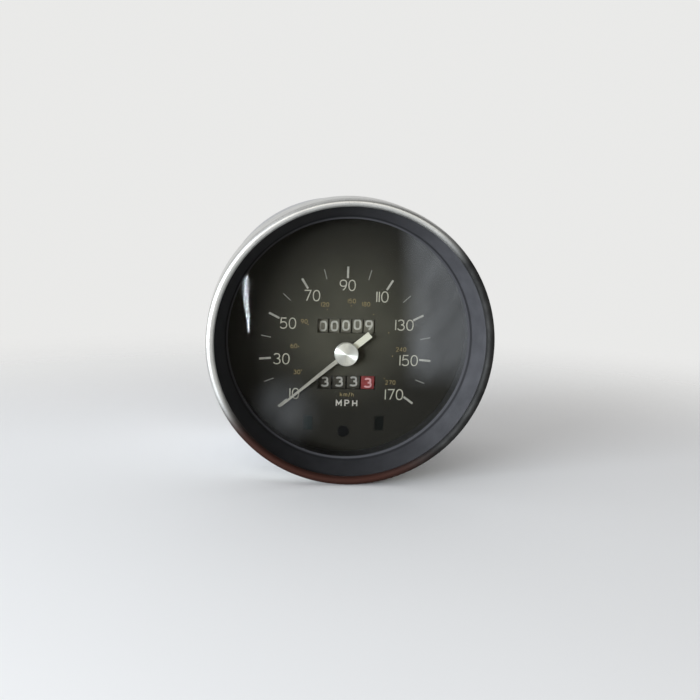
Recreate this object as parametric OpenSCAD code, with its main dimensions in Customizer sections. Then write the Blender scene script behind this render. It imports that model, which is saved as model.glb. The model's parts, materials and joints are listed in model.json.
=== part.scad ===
// Round panel speedometer with a magnetic drag-cup movement, a five-figure
// distance counter and a four-figure trip counter.
// The dial faces -Y with twelve o'clock at +Z. The origin is on the case axis,
// in the plane where the bezel sits on the panel.

/* [Case and bezel] */

// Diameter of the barrel that goes through the panel
case_d = 112; // [110:1:118]
// Depth of the barrel behind the panel
case_depth = 72; // [64:1:80]
// Thickness of the case sheet
case_wall = 0.8; // [0.6:0.1:1]
// Radius of the corner between barrel and back
case_corner = 3; // [2:0.5:4]
// How far the bezel stands out beyond the barrel
bezel_overhang = 4; // [3.8:0.2:6]
// Depth of the bezel in front of the panel
bezel_depth = 19; // [16:0.5:22]
// Thickness of the bezel sheet
bezel_wall = 1; // [0.8:0.1:1.2]
// Width of the rolled bead round the front of the bezel
bead_w = 3.5; // [3:0.1:4]

/* [Flare and glass] */

// Radial width of the black flare between bead and glass
flare_w = 5.6; // [4.4:0.2:7]
// Thickness of the flare
flare_wall = 1.2; // [0.8:0.1:1.4]
// Height of the small step at the foot of the flare
flare_step = 1.2; // [0.8:0.1:1.6]
// Thickness of the glass
glass_t = 2; // [1.5:0.25:3]
// Thickness of the rubber seal under the glass
gasket_t = 1; // [0.6:0.1:1.5]
// Gap round loose rings inside the bezel
ring_gap = 0.3; // [0.2:0.05:0.5]

/* [Dial] */

// Distance from the back of the glass to the face of the dial
dial_gap = 10.3; // [9.5:0.1:12]
// Thickness of the dial
dial_t = 1; // [0.8:0.1:1.2]
// How far the pointer axis lies below the case axis
axis_drop = 8; // [6:0.5:9]
// Width of the ring that holds the dial down
surround_w = 3; // [2:0.5:4]
// Height of the counter windows
window_h = 6; // [5:0.2:7]
// Radius of the arc of warning lamps round the pointer axis
telltale_r = 35; // [34:0.5:36]
// Angle between neighbouring warning lamps
telltale_angle = 26.5; // [26:0.5:29]
// Diameter of the round warning lamp window
telltale_d = 5.2; // [4:0.2:6]

/* [Pointer] */

// Length of the needle from its axis to its tip
needle_len = 37; // [32:0.5:39]
// Length of the tail
tail_len = 13.3; // [10:0.5:16]
// Width of the tail
tail_w = 2.9; // [2:0.1:4]
// Width of the needle where it leaves the cap
needle_w = 1.9; // [1.4:0.1:2.6]
// Width of the needle at its tip
needle_tip_w = 0.7; // [0.4:0.1:1]
// Thickness of the needle
needle_t = 0.6; // [0.4:0.1:1]
// Height of the needle above the dial
needle_lift = 2.4; // [2:0.2:6]
// Diameter of the cap
cap_d = 10.3; // [8:0.5:13]
// Height of the cap
cap_h = 2.4; // [2:0.2:3.4]
// Angle of the resting needle, anticlockwise from twelve o'clock
needle_rest = 130; // [120:0.5:132]

/* [Counters] */

// Diameter of the number drums
drum_d = 18; // [18:0.2:18.4]
// Distance from the counters' shaft to each counter's arbor
counter_offset = 12.4; // [12:0.1:12.4]
// How far the counters' shaft lies below the pointer axis
counter_drop = 0.8; // [0:0.1:0.8]
// Spacing of the distance drums
odometer_pitch = 5; // [4.9:0.05:5]
// Spacing of the trip drums
trip_pitch = 6.3; // [6.2:0.05:6.3]
// How far the trip counter sits to the right of the pointer axis
trip_shift = 0.8; // [0:0.1:0.8]
// Gap between neighbouring drums
drum_space = 0.7; // [0.7:0.05:0.9]
// Diameter of the drum arbors
arbor_d = 3; // [2.8:0.1:3]
// Thickness of the plates that hold the carry pinions
carrier_t = 0.35; // [0.25:0.05:0.35]
// Module of the carry teeth inside the drums
carry_module = 0.65; // [0.63:0.01:0.65]
// Reading of the distance counter
odometer_reading = [0, 0, 0, 0, 9]; // [0:1:9]
// Reading of the trip counter
trip_reading = [3, 3, 3, 3]; // [0:1:9]

/* [Movement] */

// Module of the worms and worm wheels
worm_module = 0.7; // [0.68:0.01:0.71]
// How far the shaft that drives both counters lies to the right of the pointer axis
drive_offset = 18; // [17.6:0.1:18.2]
// Pitch diameter of the two rear worms
worm_d = 6.4; // [6:0.1:6.8]
// Diameter of the worm wheel shafts
shaft_d = 3; // [2.6:0.1:3]
// Radius of the drag cup
cup_r = 12.6; // [11:0.1:12.6]
// Length of the drag cup
cup_len = 8; // [7:0.2:8.4]
// Gap on each side of the drag cup's wall
air_gap = 0.5; // [0.4:0.05:0.6]
// Diameter of the pointer spindle
spindle_d = 1.6; // [1.2:0.1:1.8]
// Radius of the outer turn of the hairspring
spring_r = 7; // [5.5:0.25:8]
// Turns of the hairspring
spring_turns = 5; // [3:0.5:6]
// Thickness of the movement's base plate
plate_t = 3; // [2.5:0.25:3.5]
// Thickness of the movement's side cheeks
cheek_t = 2.5; // [2:0.25:3]
// Running clearance of every shaft in its bearing
run_fit = 0.05; // [0.02:0.01:0.08]
// Module of the trip reset gears
reset_module = 0.6; // [0.58:0.01:0.6]

/* [Back] */

// Diameter of the thread for the drive cable's nut
union_d = 18; // [16:0.5:20]
// Length of the threaded drive union behind its flange
union_len = 12.5; // [10:0.5:16]
// Diameter of the socket for the drive cable's ferrule
ferrule_d = 13; // [11:0.5:13]
// Depth of that socket
ferrule_depth = 10; // [8:0.5:10]
// Side of the square drive hole
drive_square = 2.8; // [2.2:0.1:3]
// Diameter of the mounting studs
stud_d = 5; // [4:0.5:6]
// Distance between the mounting studs
stud_spacing = 80; // [76:1:82]
// Length of the mounting studs behind the case
stud_len = 24; // [16:1:32]
// Diameter of the reset union's thread
reset_d = 8; // [7:0.5:9]
// Length of the reset union behind its flange
reset_len = 8.5; // [7:0.5:12]
// Diameter of the lamp holders' necks
holder_d = 11; // [9.5:0.25:11.5]
// Distance of the two dial lamps from the case axis
lamp_r = 43; // [42:0.5:43.5]

/* [Hidden] */

$fn = 64;

// How far cuts run past a face, and the gaps that recur
past = 1;
hole_gap = 0.2;
press_gap = 0.05;
pin_fit = 0.02;

// Small laps, tucks and steps of the front rings
neck_groove = 0.3;
hem_gap = 0.3;
flare_tuck = 0.35;
skirt_drop = 0.9;
tuck_angle = 45;
skirt_t = 1;
glass_ease = 0.3;
gasket_lap = 1.2;

// Radii of the case and the rings in front of it
case_r = case_d / 2;
case_in_r = case_r - case_wall;
bezel_r = case_r + bezel_overhang;
bezel_in_r = bezel_r - bezel_wall;
bead_r = bead_w / 2;
neck_r = case_r - neck_groove;
flange_r = bezel_in_r - ring_gap;
hem_r = case_r + hem_gap;
flare_r = bezel_in_r - ring_gap;
flare_front_r = bezel_r - bead_r - (bead_r + flare_tuck) * cos(tuck_angle);
lip_r = bezel_r - bead_w - flare_w;
glass_r = bezel_in_r - 2 * ring_gap;

// Levels from the panel towards the front
hem_t = bezel_wall;
flange_z = hem_t + case_wall;
gasket_z = flange_z + gasket_t;
glass_z = gasket_z + glass_t;
flare_front_z = bezel_depth - bead_r - (bead_r + flare_tuck) * sin(tuck_angle);
skirt_z = bezel_depth - bead_w - skirt_drop;

// Gaps along the movement, from the dial towards the back
drum_clear = 0.9;
bridge_gap = 1.6;
spring_drop = 1.4;
cup_drop = 4.6;
cup_foot = 1.8;
worm_drop = 7.4;

// Levels from the dial towards the back
dial_z = gasket_z - dial_gap;
dial_back = dial_z - dial_t;
drum_r = drum_d / 2;
arbor_z = dial_back - drum_clear - drum_r;
bridge_t = 2;
bridge_z = arbor_z - drum_r - bridge_gap;
bridge_back = bridge_z - bridge_t;
spring_z = bridge_back - spring_drop;
cup_z = bridge_back - cup_drop;
cup_wall = 0.5;
cup_back = cup_z - cup_len;
plate_z = cup_back - cup_foot;
plate_back = plate_z - plate_t;
worm_z = plate_back - worm_drop;
back_z = -case_depth;
inside_z = back_z + case_wall;

// Pointer axis, the counters' shaft and the counter arbors
axis_y = -axis_drop;
shaft_y = axis_y - counter_drop;
odometer_y = shaft_y + counter_offset;
trip_y = shaft_y - counter_offset;
odometer_x = -2.5 * odometer_pitch;
trip_x = trip_shift - 2 * trip_pitch;
odometer_w = odometer_pitch - drum_space;
trip_w = trip_pitch - drum_space;
arbor_r = arbor_d / 2;
drum_bore = arbor_r + run_fit;
rim_t = 1.1;
rim_in_r = drum_r - rim_t;
web_t = 0.8;
recess = 2.4;
rim_lap = 0.2;
drum_hub_r = 3;
last_hub_r = 3.4;
carry_tooth_w = 0.8;
carry_tooth_in_r = carry_module * 9.3;
carry_disc_t = 1;

// Carry gears: twenty teeth inside each drum and six on each pinion
ring_teeth = 20;
pinion_teeth = 6;
carry_centre = carry_module * (ring_teeth - pinion_teeth) / 2;
pinion_w = 1.5;
stub_r = 0.6;
bar_r = 1;
pinion_gap = 0.1;
carrier_r = 6.6;
carrier_tail_w = 4;
carrier_tail_lap = 0.8;
bar_z = arbor_z - drum_r - drum_clear - bar_r / 2;

// Worm gears: two two-start stages of sixteen teeth, then one single-start stage of twenty-five
wheel_teeth = 16;
wheel_r = worm_module * wheel_teeth / 2;
worm_centre = wheel_r + worm_d / 2;
cross_worm_d = worm_d + 2 * counter_drop;
last_teeth = 25;
last_r = worm_module * last_teeth / 2;
last_worm_d = 2 * (counter_offset - last_r);
wheel_w = 2.2;
worm_len = 8;
last_worm_len = 7;
worm_lap = 0.5;
hub_r = 2.6;
hub_len = 4.8;
collar_r = 2.2;
collar_t = 1;
collar_gap = 0.2;
shaft_r = shaft_d / 2;
cross_y = axis_y + worm_centre;
tooth_add = 0.78;
tooth_ded = 0.95;

// Cheeks and plate of the movement
cheek_gap = 2;
cheek_room = 4.5;
cheek_margin = 5.5;
cheek_window_w = 12;
cheek_window_h = 9;
cheek_window_foot = 4;
left_cheek_x = odometer_x - cheek_gap;
right_cheek_x = drive_offset + cheek_room;
cheek_low = trip_y - cheek_margin;
cheek_high = odometer_y + cheek_margin;
plate_left = -27.5;
plate_drop = 22.5;
plate_rise = 25;
plate_low = axis_y - plate_drop;
plate_high = axis_y + plate_rise;
pillars = [[-18, axis_y + 20], [20, axis_y + 20.5], [6, axis_y - 19]];
pillar_r = 3.4;
screw_r = 1.9;
screw_head_r = 3.4;
screw_head_t = 2.2;
screw_depth = 8;
tap_spare = 1;
slot_w = 1;
slot_depth = 1.1;
lug_t = 2.5;
lug_w = 8;
lug_foot = 3.5;
lug_left = -8;
lug_room = 6.6;
lug_right = drive_offset + lug_room;
plate_right = lug_right + lug_t;
dial_foot_r = 0.8;
dial_foot_len = 3;
dial_feet_x = [left_cheek_x - cheek_t / 2, right_cheek_x + cheek_t / 2];

// Bridge in front of the drag cup and its screws
bridge_w = 10;
bridge_boss_r = 2.1;
bridge_boss_gap = 1.4;
bridge_screw_y = axis_y - 3;
bridge_screw_z = bridge_z - bridge_t / 2;
bridge_screw_r = 0.6;
bridge_head_r = 1.8;
bridge_head_t = 1.2;
bridge_grip = 5;
bridge_slot_w = 0.6;
bridge_slot_depth = 0.5;

// Drag cup, magnet and shafts of the input
magnet_r = cup_r - cup_wall - air_gap;
field_r = cup_r + air_gap;
journal_r = 2.5;
front_journal_r = 2;
rear_bush_r = 4.95;
front_bush_r = 4.45;
thrust_r = 4;
magnet_seat_r = 3;
magnet_lift = 1.2;
seat_lift = 0.6;
field_wall = 1.2;
field_drop = 1.5;
spindle_gap = 1.2;
pivot_depth = 3;
pivot_gap = 0.4;
square_depth = 8;
union_flange_t = 2.5;
union_flange_w = 4;
bush_stand = 1;
spindle_r = spindle_d / 2;
spindle_front = cup_z - cup_wall - spindle_gap;
union_flange_z = back_z - union_flange_t;
union_end = union_flange_z - union_len;
socket_floor = union_end + ferrule_depth;
bush_front = inside_z + bush_stand;

// Reset gear train: twelve teeth drive by fifteen crown teeth
reset_pinion_teeth = 12;
crown_teeth = 15;
reset_pinion_r = reset_module * reset_pinion_teeth / 2;
crown_r = reset_module * crown_teeth / 2;
reset_gap = 1.7;
reset_gear_x = left_cheek_x - cheek_t - reset_gap;
reset_x = reset_gear_x - crown_r;
crown_z = arbor_z - reset_pinion_r;
crown_face = 1.5;
crown_t = 1.6;
reset_pinion_w = 1.2;
reset_hub_r = 2.3;
reset_flange_t = 1.5;
reset_flange_w = 2.5;
reset_socket_r = 2.5;
reset_socket_depth = 6;
reset_stand = 3;
reset_flange_z = back_z - reset_flange_t;
reset_end = reset_flange_z - reset_len;
reset_floor = reset_end + reset_socket_depth;

// Warning lamps and dial lamps
telltales = [for (i = [-1, 0, 1])
    [telltale_r * sin(i * telltale_angle), axis_y - telltale_r * cos(i * telltale_angle)]];
lamp_angle = 38;
dial_lamps = [for (s = [-1, 1]) [s * lamp_r * sin(lamp_angle), lamp_r * cos(lamp_angle)]];
lamps = concat(dial_lamps, telltales);
holder_r = holder_d / 2;
holder_wall = 1.2;
bulb_r = holder_r - holder_wall;
bulb_gap = 0.5;
bulb_seat = 5;
bulb_len = 7;
holder_stand = 6;
holder_cap_t = 5;
holder_cap_w = 1.6;
holder_boss_t = 2;
spade_w = 4.8;
spade_t = 0.8;
spade_len = 7;
lens_t = 1;
lens_gap = 0.1;
lens_set = 0.2;
square_lens = [telltale_d - 1.2, telltale_d + 1.2];
tube_wall = 0.8;
tube_r = bulb_r + bulb_gap + tube_wall;
tube_z = dial_back - lens_t;
web_w = 9;
web_h = 2.4;
web_depth = 12;
web_foot = 6;
holder_front = inside_z + holder_stand;

// Studs and the earth tab on the back
stud_neck = 0.5;
stud_neck_r = stud_d / 2 + stud_neck;
stud_head_w = 2;
stud_head_t = 1.5;
earth_at = [-15, 40];
earth_rivet_r = 1.5;
earth_head_r = 2.6;
earth_head_t = 0.6;
earth_w = 6.3;
earth_t = 0.8;
earth_foot = 8;
earth_len = 9;

// Needle, cap and hairspring
needle_z = dial_z + needle_lift;
cap_z = needle_z + needle_t;
cap_bore_r = spindle_r + press_gap;
cap_ease = 0.25;
cap_tip_r = 0.9;
cap_top = 0.8;
needle_hub_r = 2.4;
collet_r = 1.9;
spring_in_r = 2;
ribbon_t = 0.22;
ribbon_h = 0.9;
spring_stud_r = 0.9;
spring_stud_gap = 1.1;

// Turns a part drawn face up so that it faces -Y
module facing() {
    rotate([90, 0, 0])
        children();
}

// Lays a part drawn along Z so that it runs along X
module along_x(x, y, z) {
    translate([x, y, z])
        rotate([90, 0, 90])
            children();
}

// Solid cylinder between two levels
module rod(r, z0, z1) {
    translate([0, 0, min(z0, z1)])
        cylinder(r = r, h = abs(z1 - z0));
}

// Tube between two levels
module tube(r, bore, z0, z1) {
    difference() {
        rod(r, z0, z1);
        rod(bore, min(z0, z1) - past, max(z0, z1) + past);
    }
}

// Square-cornered ring between two radii and two levels
module ring(r0, r1, z0, z1) {
    rotate_extrude($fn = 128)
        translate([r0, z0])
            square([r1 - r0, z1 - z0]);
}

function polar(r, a) = [r * cos(a), r * sin(a)];

// Half of a tooth's angle at a radius, for a flank that leans 20 degrees
function half_angle(r, pitch_r, half, lean) = (half - lean * (r - pitch_r) * tan(20)) / r * 180 / PI;

// Outline of a spur gear: width is the tooth's share of the pitch
function gear_points(teeth, m, width, add, ded) =
    let (pitch_r = m * teeth / 2, half = width * PI * m / 2)
    let (low = pitch_r - ded * m, high = pitch_r + add * m)
    let (a0 = half_angle(low, pitch_r, half, 0.5), a1 = half_angle(pitch_r, pitch_r, half, 1))
    let (a2 = half_angle(high, pitch_r, half, 1))
    [for (i = [0 : teeth - 1], k = [0 : 5])
        let (c = i * 360 / teeth)
        k == 0 ? polar(low, c - a0) : k == 1 ? polar(pitch_r, c - a1) : k == 2 ? polar(high, c - a2)
        : k == 3 ? polar(high, c + a2) : k == 4 ? polar(pitch_r, c + a1) : polar(low, c + a0)];

// Section across a worm with a crest at angle 0
function worm_points(starts, m, d, width) =
    let (turn = 360 / (starts * PI * m), r = d / 2, half = width * PI * m / 2)
    let (high = r + tooth_add * m, low = r - tooth_ded * m, mid = (high + low) / 2)
    let (a_high = (half - tooth_add * m * tan(20)) * turn, a_low = (half + tooth_ded * m * tan(20)) * turn)
    let (a_mid = (a_high + a_low) / 2, rest = 360 / starts - 2 * a_low)
    [for (s = [0 : starts - 1], k = [0 : 9])
        let (c = s * 360 / starts)
        k == 0 ? polar(low, c - a_low) : k == 1 ? polar(mid, c - a_mid) : k == 2 ? polar(high, c - a_high)
        : k == 3 ? polar(high, c) : k == 4 ? polar(high, c + a_high) : k == 5 ? polar(mid, c + a_mid)
        : k == 6 ? polar(low, c + a_low) : polar(low, c + a_low + rest * (k - 6) / 4)];

// Right-handed worm along Z with a crest at angle 0 in its middle plane
module worm(starts, m, d, width, len) {
    turn = 360 * len / (starts * PI * m);
    rotate([0, 0, -turn / 2])
        translate([0, 0, -len / 2])
            linear_extrude(height = len, twist = -turn, slices = ceil(turn / 30), segments = 0)
                polygon(worm_points(starts, m, d, width));
}

// Wheel for a right-handed worm of the same module, with its middle plane at level 0
module worm_wheel(teeth, m, starts, d, width, thick) {
    lead = atan(starts * m / d);
    turn = thick * tan(lead) / (m * teeth / 2) * 180 / PI;
    rotate([0, 0, -turn / 2])
        translate([0, 0, -thick / 2])
            linear_extrude(height = thick, twist = -turn, slices = 2, segments = 0)
                polygon(gear_points(teeth, m, width, tooth_add, tooth_ded));
}

// Bright front ring: bead, side wall and the hem that grips the case flange
module bezel() {
    color([0.82, 0.82, 0.84])
        facing()
            rotate_extrude($fn = 160)
                union() {
                    translate([bezel_r - bead_r, bezel_depth - bead_r])
                        circle(r = bead_r, $fn = 32);
                    translate([bezel_in_r, 0])
                        square([bezel_wall, bezel_depth - bead_r]);
                    translate([hem_r, 0])
                        square([bezel_r - hem_r - bezel_wall / 2, hem_t]);
                }
}

// Black funnel from the bead down to the glass, hollow behind
module flare_ring() {
    foot_r = lip_r + flare_step;
    foot_z = glass_z + 1.5 * flare_step;
    run = flare_front_r - foot_r;
    rise = flare_front_z - foot_z;
    across = flare_wall * rise / norm([run, rise]);
    down = flare_wall * run / norm([run, rise]);
    skirt_r = flare_r - skirt_t;
    back_r = foot_r + across;
    hollow_z = skirt_z - flare_wall;
    hollow_r = back_r + (hollow_z - foot_z + down) * run / rise;
    color([0.06, 0.06, 0.07])
        facing()
            rotate_extrude($fn = 160)
                polygon([
                    [flare_front_r, flare_front_z],
                    [foot_r, foot_z],
                    [lip_r, glass_z + flare_step],
                    [lip_r, glass_z],
                    [back_r, glass_z],
                    [back_r, foot_z - down],
                    [hollow_r, hollow_z],
                    [skirt_r, hollow_z],
                    [skirt_r, glass_z],
                    [flare_r, glass_z],
                    [flare_r, skirt_z]
                ]);
}

// Flat glass with its edge eased
module glass() {
    color([0.8, 0.88, 0.9, 0.3])
        facing()
            rotate_extrude($fn = 128)
                polygon([
                    [0, gasket_z],
                    [glass_r - glass_ease, gasket_z],
                    [glass_r, gasket_z + glass_ease],
                    [glass_r, glass_z - glass_ease],
                    [glass_r - glass_ease, glass_z],
                    [0, glass_z]
                ]);
}

// Rubber ring between the case flange and the glass
module glass_gasket() {
    color([0.05, 0.05, 0.05])
        facing()
            ring(case_in_r - gasket_lap, glass_r - hole_gap, flange_z, gasket_z);
}

// Hole through the back of the case
module back_hole(p, r) {
    translate([p[0], p[1], 0])
        rod(r, back_z - past, inside_z + past);
}

// Drawn steel can with a flange in front, a shallow groove under it and every opening of the back
module case() {
    r = case_r;
    c = case_corner;
    color([0.62, 0.63, 0.62])
        facing()
            difference() {
                rotate_extrude($fn = 128)
                    difference() {
                        union() {
                            translate([0, back_z])
                                square([r - c, case_depth]);
                            translate([0, back_z + c])
                                square([r, case_depth - c]);
                            translate([r - c, back_z + c])
                                circle(r = c, $fn = 48);
                            polygon([
                                [0, 0],
                                [r, 0],
                                [neck_r, hem_t],
                                [neck_r, flange_z],
                                [0, flange_z]
                            ]);
                            translate([0, hem_t])
                                square([flange_r, case_wall]);
                        }
                        translate([0, inside_z])
                            square([r - c, 2 * case_depth]);
                        translate([0, back_z + c])
                            square([case_in_r, 2 * case_depth]);
                        translate([r - c, back_z + c])
                            circle(r = c - case_wall, $fn = 48);
                        translate([-r, back_z - past])
                            square([r, 2 * case_depth]);
                    }
                back_hole([0, axis_y], union_d / 2 + hole_gap);
                back_hole([reset_x, trip_y], reset_d / 2 + hole_gap);
                for (p = pillars)
                    back_hole(p, screw_r + hole_gap);
                for (p = lamps)
                    back_hole(p, holder_r + hole_gap);
                for (s = [-1, 1])
                    back_hole([s * stud_spacing / 2, 0], stud_neck_r + press_gap);
                back_hole(earth_at, earth_rivet_r + press_gap);
            }
}

// Black ring between the seal and the dial, dividing the dial from the case wall
module dial_surround() {
    color([0.05, 0.05, 0.05])
        facing()
            ring(case_in_r - ring_gap - surround_w, case_in_r - ring_gap, dial_z, flange_z);
}

// Dial disc with its windows, the spindle hole and two feet behind
module dial_plate() {
    color([0.1, 0.1, 0.1])
        facing()
            union() {
                translate([0, 0, dial_back])
                    linear_extrude(height = dial_t)
                        difference() {
                            circle(r = case_in_r - ring_gap, $fn = 128);
                            translate([0, axis_y])
                                circle(r = spindle_r + past);
                            translate([odometer_x, odometer_y - window_h / 2])
                                square([5 * odometer_pitch, window_h]);
                            translate([trip_x, trip_y - window_h / 2])
                                square([4 * trip_pitch, window_h]);
                            for (i = [0, 2])
                                translate(telltales[i])
                                    square(square_lens, center = true);
                            translate(telltales[1])
                                circle(r = telltale_d / 2, $fn = 48);
                        }
                for (x = dial_feet_x)
                    translate([x, axis_y, 0])
                        rod(dial_foot_r, dial_back - dial_foot_len, dial_back);
            }
}

// Warning lens: a flange behind the dial and a plug in its window
module telltale_lens(i, tint) {
    color(tint)
        facing()
            translate([telltales[i][0], telltales[i][1], 0])
                union() {
                    rod(tube_r, tube_z, dial_back);
                    if (i == 1)
                        rod(telltale_d / 2 - lens_gap, dial_back - lens_set, dial_z - lens_set);
                    else
                        translate([0, 0, dial_back - lens_set])
                            linear_extrude(height = dial_t)
                                square(square_lens - 2 * [lens_gap, lens_gap], center = true);
                }
}

module telltale_lens_left() {
    telltale_lens(0, [0.1, 0.16, 0.1]);
}

module telltale_lens_middle() {
    telltale_lens(1, [0.08, 0.1, 0.18]);
}

module telltale_lens_right() {
    telltale_lens(2, [0.1, 0.16, 0.1]);
}

// Three light tubes joined by a web, from the lenses back to the lamp holders
module telltale_housing() {
    color([0.75, 0.75, 0.72])
        facing()
            difference() {
                union() {
                    for (p = telltales)
                        translate([p[0], p[1], 0])
                            rod(tube_r, holder_front, tube_z);
                    for (s = [-1, 1])
                        translate([s * telltales[2][0] / 2, (telltales[1][1] + telltales[2][1]) / 2, 0])
                            translate([-web_w / 2, -web_h / 2, holder_front + web_foot])
                                cube([web_w, web_h, web_depth]);
                }
                for (p = telltales)
                    translate([p[0], p[1], 0])
                        rod(tube_r - tube_wall, holder_front - past, tube_z + past);
            }
}

// Needle and tail, drawn pointing to twelve o'clock
module needle_outline() {
    polygon([
        [-needle_w / 2, 0],
        [-needle_tip_w / 2, needle_len - needle_tip_w],
        [0, needle_len],
        [needle_tip_w / 2, needle_len - needle_tip_w],
        [needle_w / 2, 0]
    ]);
    translate([-tail_w / 2, -tail_len])
        square([tail_w, tail_len]);
}

module pointer_needle() {
    color([0.86, 0.84, 0.76])
        facing()
            translate([0, axis_y, needle_z])
                rotate([0, 0, needle_rest])
                    difference() {
                        union() {
                            linear_extrude(height = needle_t)
                                needle_outline();
                            cylinder(r = needle_hub_r, h = needle_t);
                        }
                        rod(cap_bore_r, -past, needle_t + past);
                    }
}

// Spun cap over the needle, a low cone with an eased edge, pressed on the spindle
module pointer_cap() {
    r = cap_d / 2;
    color([0.72, 0.72, 0.7])
        facing()
            translate([0, axis_y, cap_z])
                rotate_extrude($fn = 96)
                    polygon([
                        [cap_bore_r, 0],
                        [r, 0],
                        [r, cap_h * 0.72],
                        [r - cap_ease, cap_h * 0.82],
                        [cap_tip_r, cap_h],
                        [0, cap_h],
                        [0, cap_h - cap_top],
                        [cap_bore_r, cap_h - cap_top]
                    ]);
}

// Thin steel spindle from the pivot in the magnet shaft to the cap, with the spring's collet
module pointer_spindle() {
    tail_z = spindle_front - pivot_depth + pivot_gap;
    nose_z = cap_z + cap_h - cap_top - hole_gap;
    color([0.7, 0.7, 0.72])
        facing()
            translate([0, axis_y, 0])
                union() {
                    rod(spindle_r, tail_z, nose_z);
                    rod(collet_r, cup_z, spring_z + 2 * ribbon_h / 3);
                }
}

// Thin aluminium cup turned by the magnet's field, riveted to the spindle's collet
module drag_cup() {
    color([0.8, 0.81, 0.83])
        facing()
            translate([0, axis_y, 0])
                difference() {
                    rod(cup_r, cup_back, cup_z);
                    rod(cup_r - cup_wall, cup_back - past, cup_z - cup_wall);
                    rod(spindle_r + press_gap, cup_z - cup_wall - past, cup_z + past);
                }
}

// Flat spiral ribbon from the collet out to the stud
module hairspring() {
    r0 = spring_in_r;
    r1 = r0 + ribbon_t;
    steps = ceil(spring_turns * 24);
    span = spring_turns * 360;
    grow = (spring_r - r0 - ribbon_t / 2) / span;
    inner = [for (i = [0 : steps]) let (a = span * i / steps) polar(r0 + grow * a, a + 90)];
    outer = [for (i = [steps : -1 : 0]) let (a = span * i / steps) polar(r1 + grow * a, a + 90)];
    color([0.72, 0.6, 0.3])
        facing()
            translate([0, axis_y, spring_z - ribbon_h / 2])
                linear_extrude(height = ribbon_h)
                    polygon(concat(inner, outer));
}

// Pin on the bridge that holds the outer end of the spring
module spring_stud() {
    a = spring_turns * 360 + 90;
    p = polar(spring_r + spring_stud_gap, a);
    color([0.75, 0.62, 0.35])
        facing()
            translate([p[0], p[1] + axis_y, 0])
                rod(spring_stud_r, spring_z - 2 * ribbon_h / 3, bridge_back);
}

// Side cheek of the movement, a plate across X from the base plate to the dial
module cheek(x) {
    translate([x, cheek_low, plate_z - plate_t / 2])
        cube([cheek_t, cheek_high - cheek_low, dial_back - plate_z + plate_t / 2]);
}

// Cast frame: base plate, two cheeks, rear lugs and pillars, with all its bores
module movement_frame() {
    bore_from = 2 * plate_left;
    bore_len = -4 * plate_left;
    foot_hole_z = dial_back - dial_foot_len - hole_gap;
    color([0.58, 0.58, 0.56])
        facing()
            difference() {
                union() {
                    translate([plate_left, plate_low, plate_back])
                        cube([plate_right - plate_left, plate_high - plate_low, plate_t]);
                    cheek(left_cheek_x - cheek_t);
                    cheek(right_cheek_x);
                    for (x = [lug_left, lug_right])
                        translate([x, cross_y - lug_w / 2, worm_z - lug_foot])
                            cube([lug_t, lug_w, plate_back - worm_z + lug_foot + plate_t / 2]);
                    for (p = pillars)
                        translate([p[0], p[1], 0])
                            rod(pillar_r, inside_z, plate_back + plate_t / 2);
                }
                translate([0, axis_y, 0])
                    rod(front_bush_r + press_gap, plate_back - past, plate_z + past);
                for (p = [[drive_offset, shaft_y], [reset_x, trip_y]])
                    translate([p[0], p[1], 0])
                        rod(shaft_r + run_fit, plate_back - past, plate_z + past);
                along_x(bore_from, cross_y, worm_z)
                    rod(shaft_r + run_fit, 0, bore_len);
                for (y = [odometer_y, trip_y]) {
                    along_x(bore_from, y, arbor_z)
                        rod(arbor_r + run_fit, 0, bore_len);
                    along_x(bore_from, y, bar_z)
                        rod(bar_r + pin_fit, 0, bore_len);
                }
                along_x(bore_from, bridge_screw_y, bridge_screw_z)
                    rod(bridge_screw_r + hole_gap, 0, bore_len);
                for (x = dial_feet_x)
                    translate([x, axis_y, 0])
                        rod(dial_foot_r + press_gap, foot_hole_z, dial_back + past);
                for (p = pillars)
                    translate([p[0], p[1], 0])
                        rod(screw_r + press_gap, inside_z - past, inside_z + screw_depth + tap_spare);
                for (x = [left_cheek_x - cheek_t - past, right_cheek_x - past])
                    translate([x, axis_y - cheek_window_w / 2, plate_z + cheek_window_foot])
                        cube([cheek_t + 2 * past, cheek_window_w, cheek_window_h]);
            }
}

// Cross bar in front of the drag cup, with the long bearing of the pointer spindle
module pointer_bridge() {
    color([0.78, 0.66, 0.36])
        facing()
            difference() {
                union() {
                    translate([left_cheek_x, axis_y - bridge_w / 2, bridge_back])
                        cube([right_cheek_x - left_cheek_x, bridge_w, bridge_t]);
                    translate([0, axis_y, 0])
                        rod(bridge_boss_r, bridge_back, dial_back - bridge_boss_gap);
                }
                translate([0, axis_y, 0])
                    rod(spindle_r + run_fit, bridge_back - past, dial_back);
                translate([drive_offset, shaft_y, 0])
                    rod(shaft_r + run_fit, bridge_back - past, bridge_z + past);
                for (x = [left_cheek_x - past, right_cheek_x - bridge_grip - past])
                    along_x(x, bridge_screw_y, bridge_screw_z)
                        rod(bridge_screw_r + press_gap, 0, bridge_grip + 2 * past);
            }
}

// One cheese-head screw along X, head at the far end
module bridge_screw() {
    len = cheek_t + bridge_grip;
    difference() {
        union() {
            rod(bridge_screw_r, 0, len);
            rod(bridge_head_r, len, len + bridge_head_t);
        }
        translate([-bridge_slot_w / 2, -bridge_head_r - past, len + bridge_head_t - bridge_slot_depth])
            cube([bridge_slot_w, 2 * (bridge_head_r + past), bridge_slot_depth + past]);
    }
}

module bridge_screws() {
    color([0.7, 0.7, 0.68])
        facing()
            union() {
                along_x(right_cheek_x - bridge_grip, bridge_screw_y, bridge_screw_z)
                    bridge_screw();
                translate([left_cheek_x + bridge_grip, bridge_screw_y, bridge_screw_z])
                    rotate([90, 0, -90])
                        bridge_screw();
            }
}

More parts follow.
